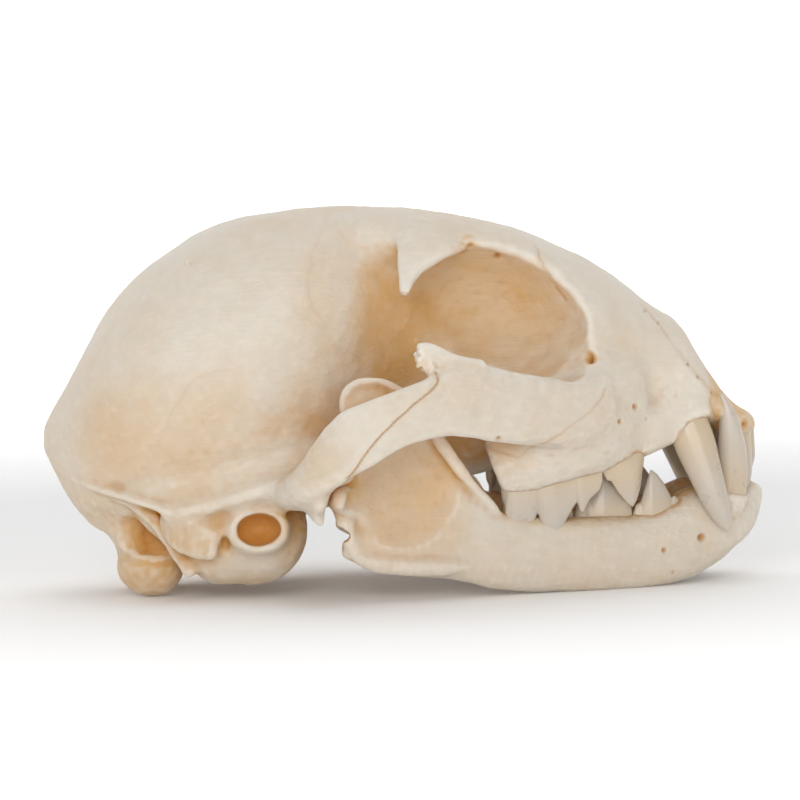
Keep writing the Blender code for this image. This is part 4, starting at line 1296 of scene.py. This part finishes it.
class SKULL_OT_cheek_teeth(bpy.types.Operator):
    """Builds the cheek teeth of both jaws"""
    bl_idname = "skull.cheek_teeth"
    bl_label = "Cheek Teeth"

    def execute(self, context):
        enamel = kept_material("tooth_enamel", enamel_material)
        for side in SIDES:
            for maker, name, gum, tip in ((upper_cheek_teeth, "upper_cheek_teeth_", 22.0, 14.5),
                                          (lower_cheek_teeth, "lower_cheek_teeth_", 12.6, 18.5)):
                body = tooth_row(maker(side))
                dress_teeth(body, gum, tip)
                finish_piece(body, name + SIDE_NAMES[side], [], enamel)
        return {"FINISHED"}


class SKULL_OT_incisors(bpy.types.Operator):
    """Builds the small front teeth of both jaws"""
    bl_idname = "skull.incisors"
    bl_label = "Incisors"

    def execute(self, context):
        enamel = kept_material("tooth_enamel", enamel_material)
        upper = tooth_row(upper_incisor_cusps())
        dress_teeth(upper, 28.0, 21.0)
        finish_piece(upper, "upper_incisors", [], enamel)
        for side in SIDES:
            lower = tooth_row(lower_incisor_cusps(side))
            dress_teeth(lower, 15.0, 20.0)
            finish_piece(lower, "lower_incisors_" + SIDE_NAMES[side], [], enamel)
        return {"FINISHED"}


def soft_light(name, place, target, size, power, colour):
    data = bpy.data.lights.new(name, "AREA")
    data.shape = "DISK"
    data.size = size
    data.energy = power
    data.color = colour
    made = bpy.data.objects.new(name, data)
    bpy.context.scene.collection.objects.link(made)
    made.location = place
    made.rotation_mode = "QUATERNION"
    made.rotation_quaternion = (Vector(target) - Vector(place)).to_track_quat("-Z", "Y")


def paper_sweep():
    # Flat in front, curved up into a wall behind the skull
    bm = bmesh.new()
    bmesh.ops.create_grid(bm, x_segments=2, y_segments=80, size=1.0)
    flat, bend, wall = 5.0, 1.2, 4.0
    for vert in bm.verts:
        along = (vert.co.y + 1) / 2 * (flat + bend * pi / 2 + wall)
        turn = min(max((along - flat) / bend, 0), pi / 2)
        rise = max(along - flat - bend * pi / 2, 0)
        y = min(along, flat) - flat + bend * sin(turn)
        vert.co = (vert.co.x * 6, y + 1.0, bend * (1 - cos(turn)) + rise)
    return object_from(bm, "floor")


class SKULL_OT_stage(bpy.types.Operator):
    """Sets up the white sweep, the soft lights and the camera"""
    bl_idname = "skull.stage"
    bl_label = "Stage"

    def execute(self, context):
        stage = context.scene.skull_stage
        floor = paper_sweep()
        floor.data.materials.append(paper_material())
        world = bpy.data.worlds.new("studio")
        world.use_nodes = True
        world.node_tree.nodes["Background"].inputs[0].default_value = (1, 1, 1, 1)
        world.node_tree.nodes["Background"].inputs[1].default_value = stage.surround
        context.scene.world = world
        middle = (0.0, 0.0, 0.035)
        soft_light("key", (-0.2, -1.0, 0.4), middle, 0.4, stage.key_power, (1.0, 0.98, 0.95))
        soft_light("fill", (0.1, -1.2, 0.2), middle, 0.6, stage.fill_power, (1.0, 0.99, 0.97))
        soft_light("top", (0.05, 0.0, 1.0), middle, 0.7, stage.top_power, (1.0, 1.0, 1.0))
        data = bpy.data.cameras.new("camera")
        camera = bpy.data.objects.new("camera", data)
        context.scene.collection.objects.link(camera)
        data.sensor_width = 36.0
        scale = stage.pixels_per_millimetre * stage.distance / MILLIMETRE
        data.lens = data.sensor_width * scale / PICTURE_WIDTH
        data.clip_start = 0.01
        data.clip_end = 30.0
        round_by = stage.azimuth
        up_by = stage.elevation
        back = Vector((sin(round_by) * cos(up_by), -cos(round_by) * cos(up_by), sin(up_by)))
        camera.location = Vector((0, 0, stage.aim_height)) + back * stage.distance
        camera.rotation_mode = "QUATERNION"
        turn = Matrix.Rotation(-stage.roll, 3, "Z").to_quaternion()
        camera.rotation_quaternion = back.to_track_quat("Z", "Y") @ turn
        context.scene.camera = camera
        context.scene.view_settings.view_transform = "Standard"
        return {"FINISHED"}


class SkullLooks(bpy.types.PropertyGroup):
    """Colours of the bones and the teeth"""
    bone_light: FloatVectorProperty(
        name="Bone", description="Open bone surface", subtype="COLOR", size=3,
        default=linear("#DAD1C3"), min=0, max=1)
    bone_warm: FloatVectorProperty(
        name="Warm Bone", description="Bone in shaded hollows", subtype="COLOR", size=3,
        default=linear("#D0A66C"), min=0, max=1)
    # Painted deep shade inside openings such as the ear hole
    bone_deep_shade: FloatVectorProperty(
        name="Deep Bone", description="Bone deep inside an opening", subtype="COLOR", size=3,
        default=linear("#DE8A04"), min=0, max=1)
    # Dark sutures, and painted shade in creases, pits and round the tooth roots
    bone_seam_and_shade: FloatVectorProperty(
        name="Seams", description="Sutures, creases and pits", subtype="COLOR", size=3,
        default=linear("#B4761A"), min=0, max=1)
    # Painted highlight on sharp bone edges
    bone_edge_highlight: FloatVectorProperty(
        name="Bone Edges", description="Sharp bone edges, worn pale", subtype="COLOR", size=3,
        default=linear("#EAE4DA"), min=0, max=1)
    enamel_tip: FloatVectorProperty(
        name="Enamel", description="Enamel toward the tip", subtype="COLOR", size=3,
        default=linear("#C9BFB2"), min=0, max=1)
    # Tooth at the gum line: cream tone with painted warm shade
    enamel_neck_and_shade: FloatVectorProperty(
        name="Tooth Neck", description="Tooth at the gum line", subtype="COLOR", size=3,
        default=linear("#CFBCA1"), min=0, max=1)


class SkullStage(bpy.types.PropertyGroup):
    """Camera, surroundings and lights"""
    azimuth: FloatProperty(
        name="Azimuth", description="Camera angle round the skull", subtype="ANGLE",
        default=radians(-2.0))
    elevation: FloatProperty(
        name="Elevation", description="Camera angle above the floor", subtype="ANGLE",
        default=radians(3.0))
    roll: FloatProperty(
        name="Roll", description="Small tilt of the camera", subtype="ANGLE", default=radians(1.31))
    distance: FloatProperty(
        name="Distance", description="Camera to the middle of the skull", unit="LENGTH",
        default=0.7, min=0.2)
    aim_height: FloatProperty(
        name="Aim Height", description="Height that the camera looks at", unit="LENGTH",
        default=0.03454)
    pixels_per_millimetre: FloatProperty(
        name="Scale", description="Size of a millimetre in the picture", default=5.36, min=1.0)
    surround: FloatProperty(
        name="Surround", description="Strength of the white surroundings", default=0.45, min=0)
    key_power: FloatProperty(
        name="Key Light", description="Power of the front light", unit="POWER", default=2.65, min=0)
    fill_power: FloatProperty(
        name="Fill Light", description="Power of the low front light", unit="POWER", default=2.3, min=0)
    top_power: FloatProperty(
        name="Top Light", description="Power of the overhead light", unit="POWER", default=1.3, min=0)


class SKULL_PT_panel(bpy.types.Panel):
    """Lists the operators and their values in the sidebar"""
    bl_label = "Lynx Skull"
    bl_idname = "SKULL_PT_panel"
    bl_space_type = "VIEW_3D"
    bl_region_type = "UI"
    bl_category = "Skull"

    def draw(self, context):
        layout = self.layout
        for kind in OPERATORS:
            layout.operator(kind.bl_idname)
        for group in (context.scene.skull_looks, context.scene.skull_stage):
            for key in group.bl_rna.properties.keys():
                if key not in {"rna_type", "name"}:
                    layout.prop(group, key)


OPERATORS = (SKULL_OT_cranium, SKULL_OT_jaws, SKULL_OT_canines, SKULL_OT_cheek_teeth,
             SKULL_OT_incisors, SKULL_OT_stage)
CLASSES = (SkullLooks, SkullStage, *OPERATORS, SKULL_PT_panel)


def register():
    for kind in CLASSES:
        bpy.utils.register_class(kind)
    bpy.types.Scene.skull_looks = PointerProperty(type=SkullLooks)
    bpy.types.Scene.skull_stage = PointerProperty(type=SkullStage)


def unregister():
    del bpy.types.Scene.skull_stage
    del bpy.types.Scene.skull_looks
    for kind in reversed(CLASSES):
        bpy.utils.unregister_class(kind)


def main():
    register()
    bpy.ops.skull.cranium()
    bpy.ops.skull.jaws()
    bpy.ops.skull.canines()
    bpy.ops.skull.cheek_teeth()
    bpy.ops.skull.incisors()
    bpy.ops.skull.stage()


if __name__ == "__main__":
    main()
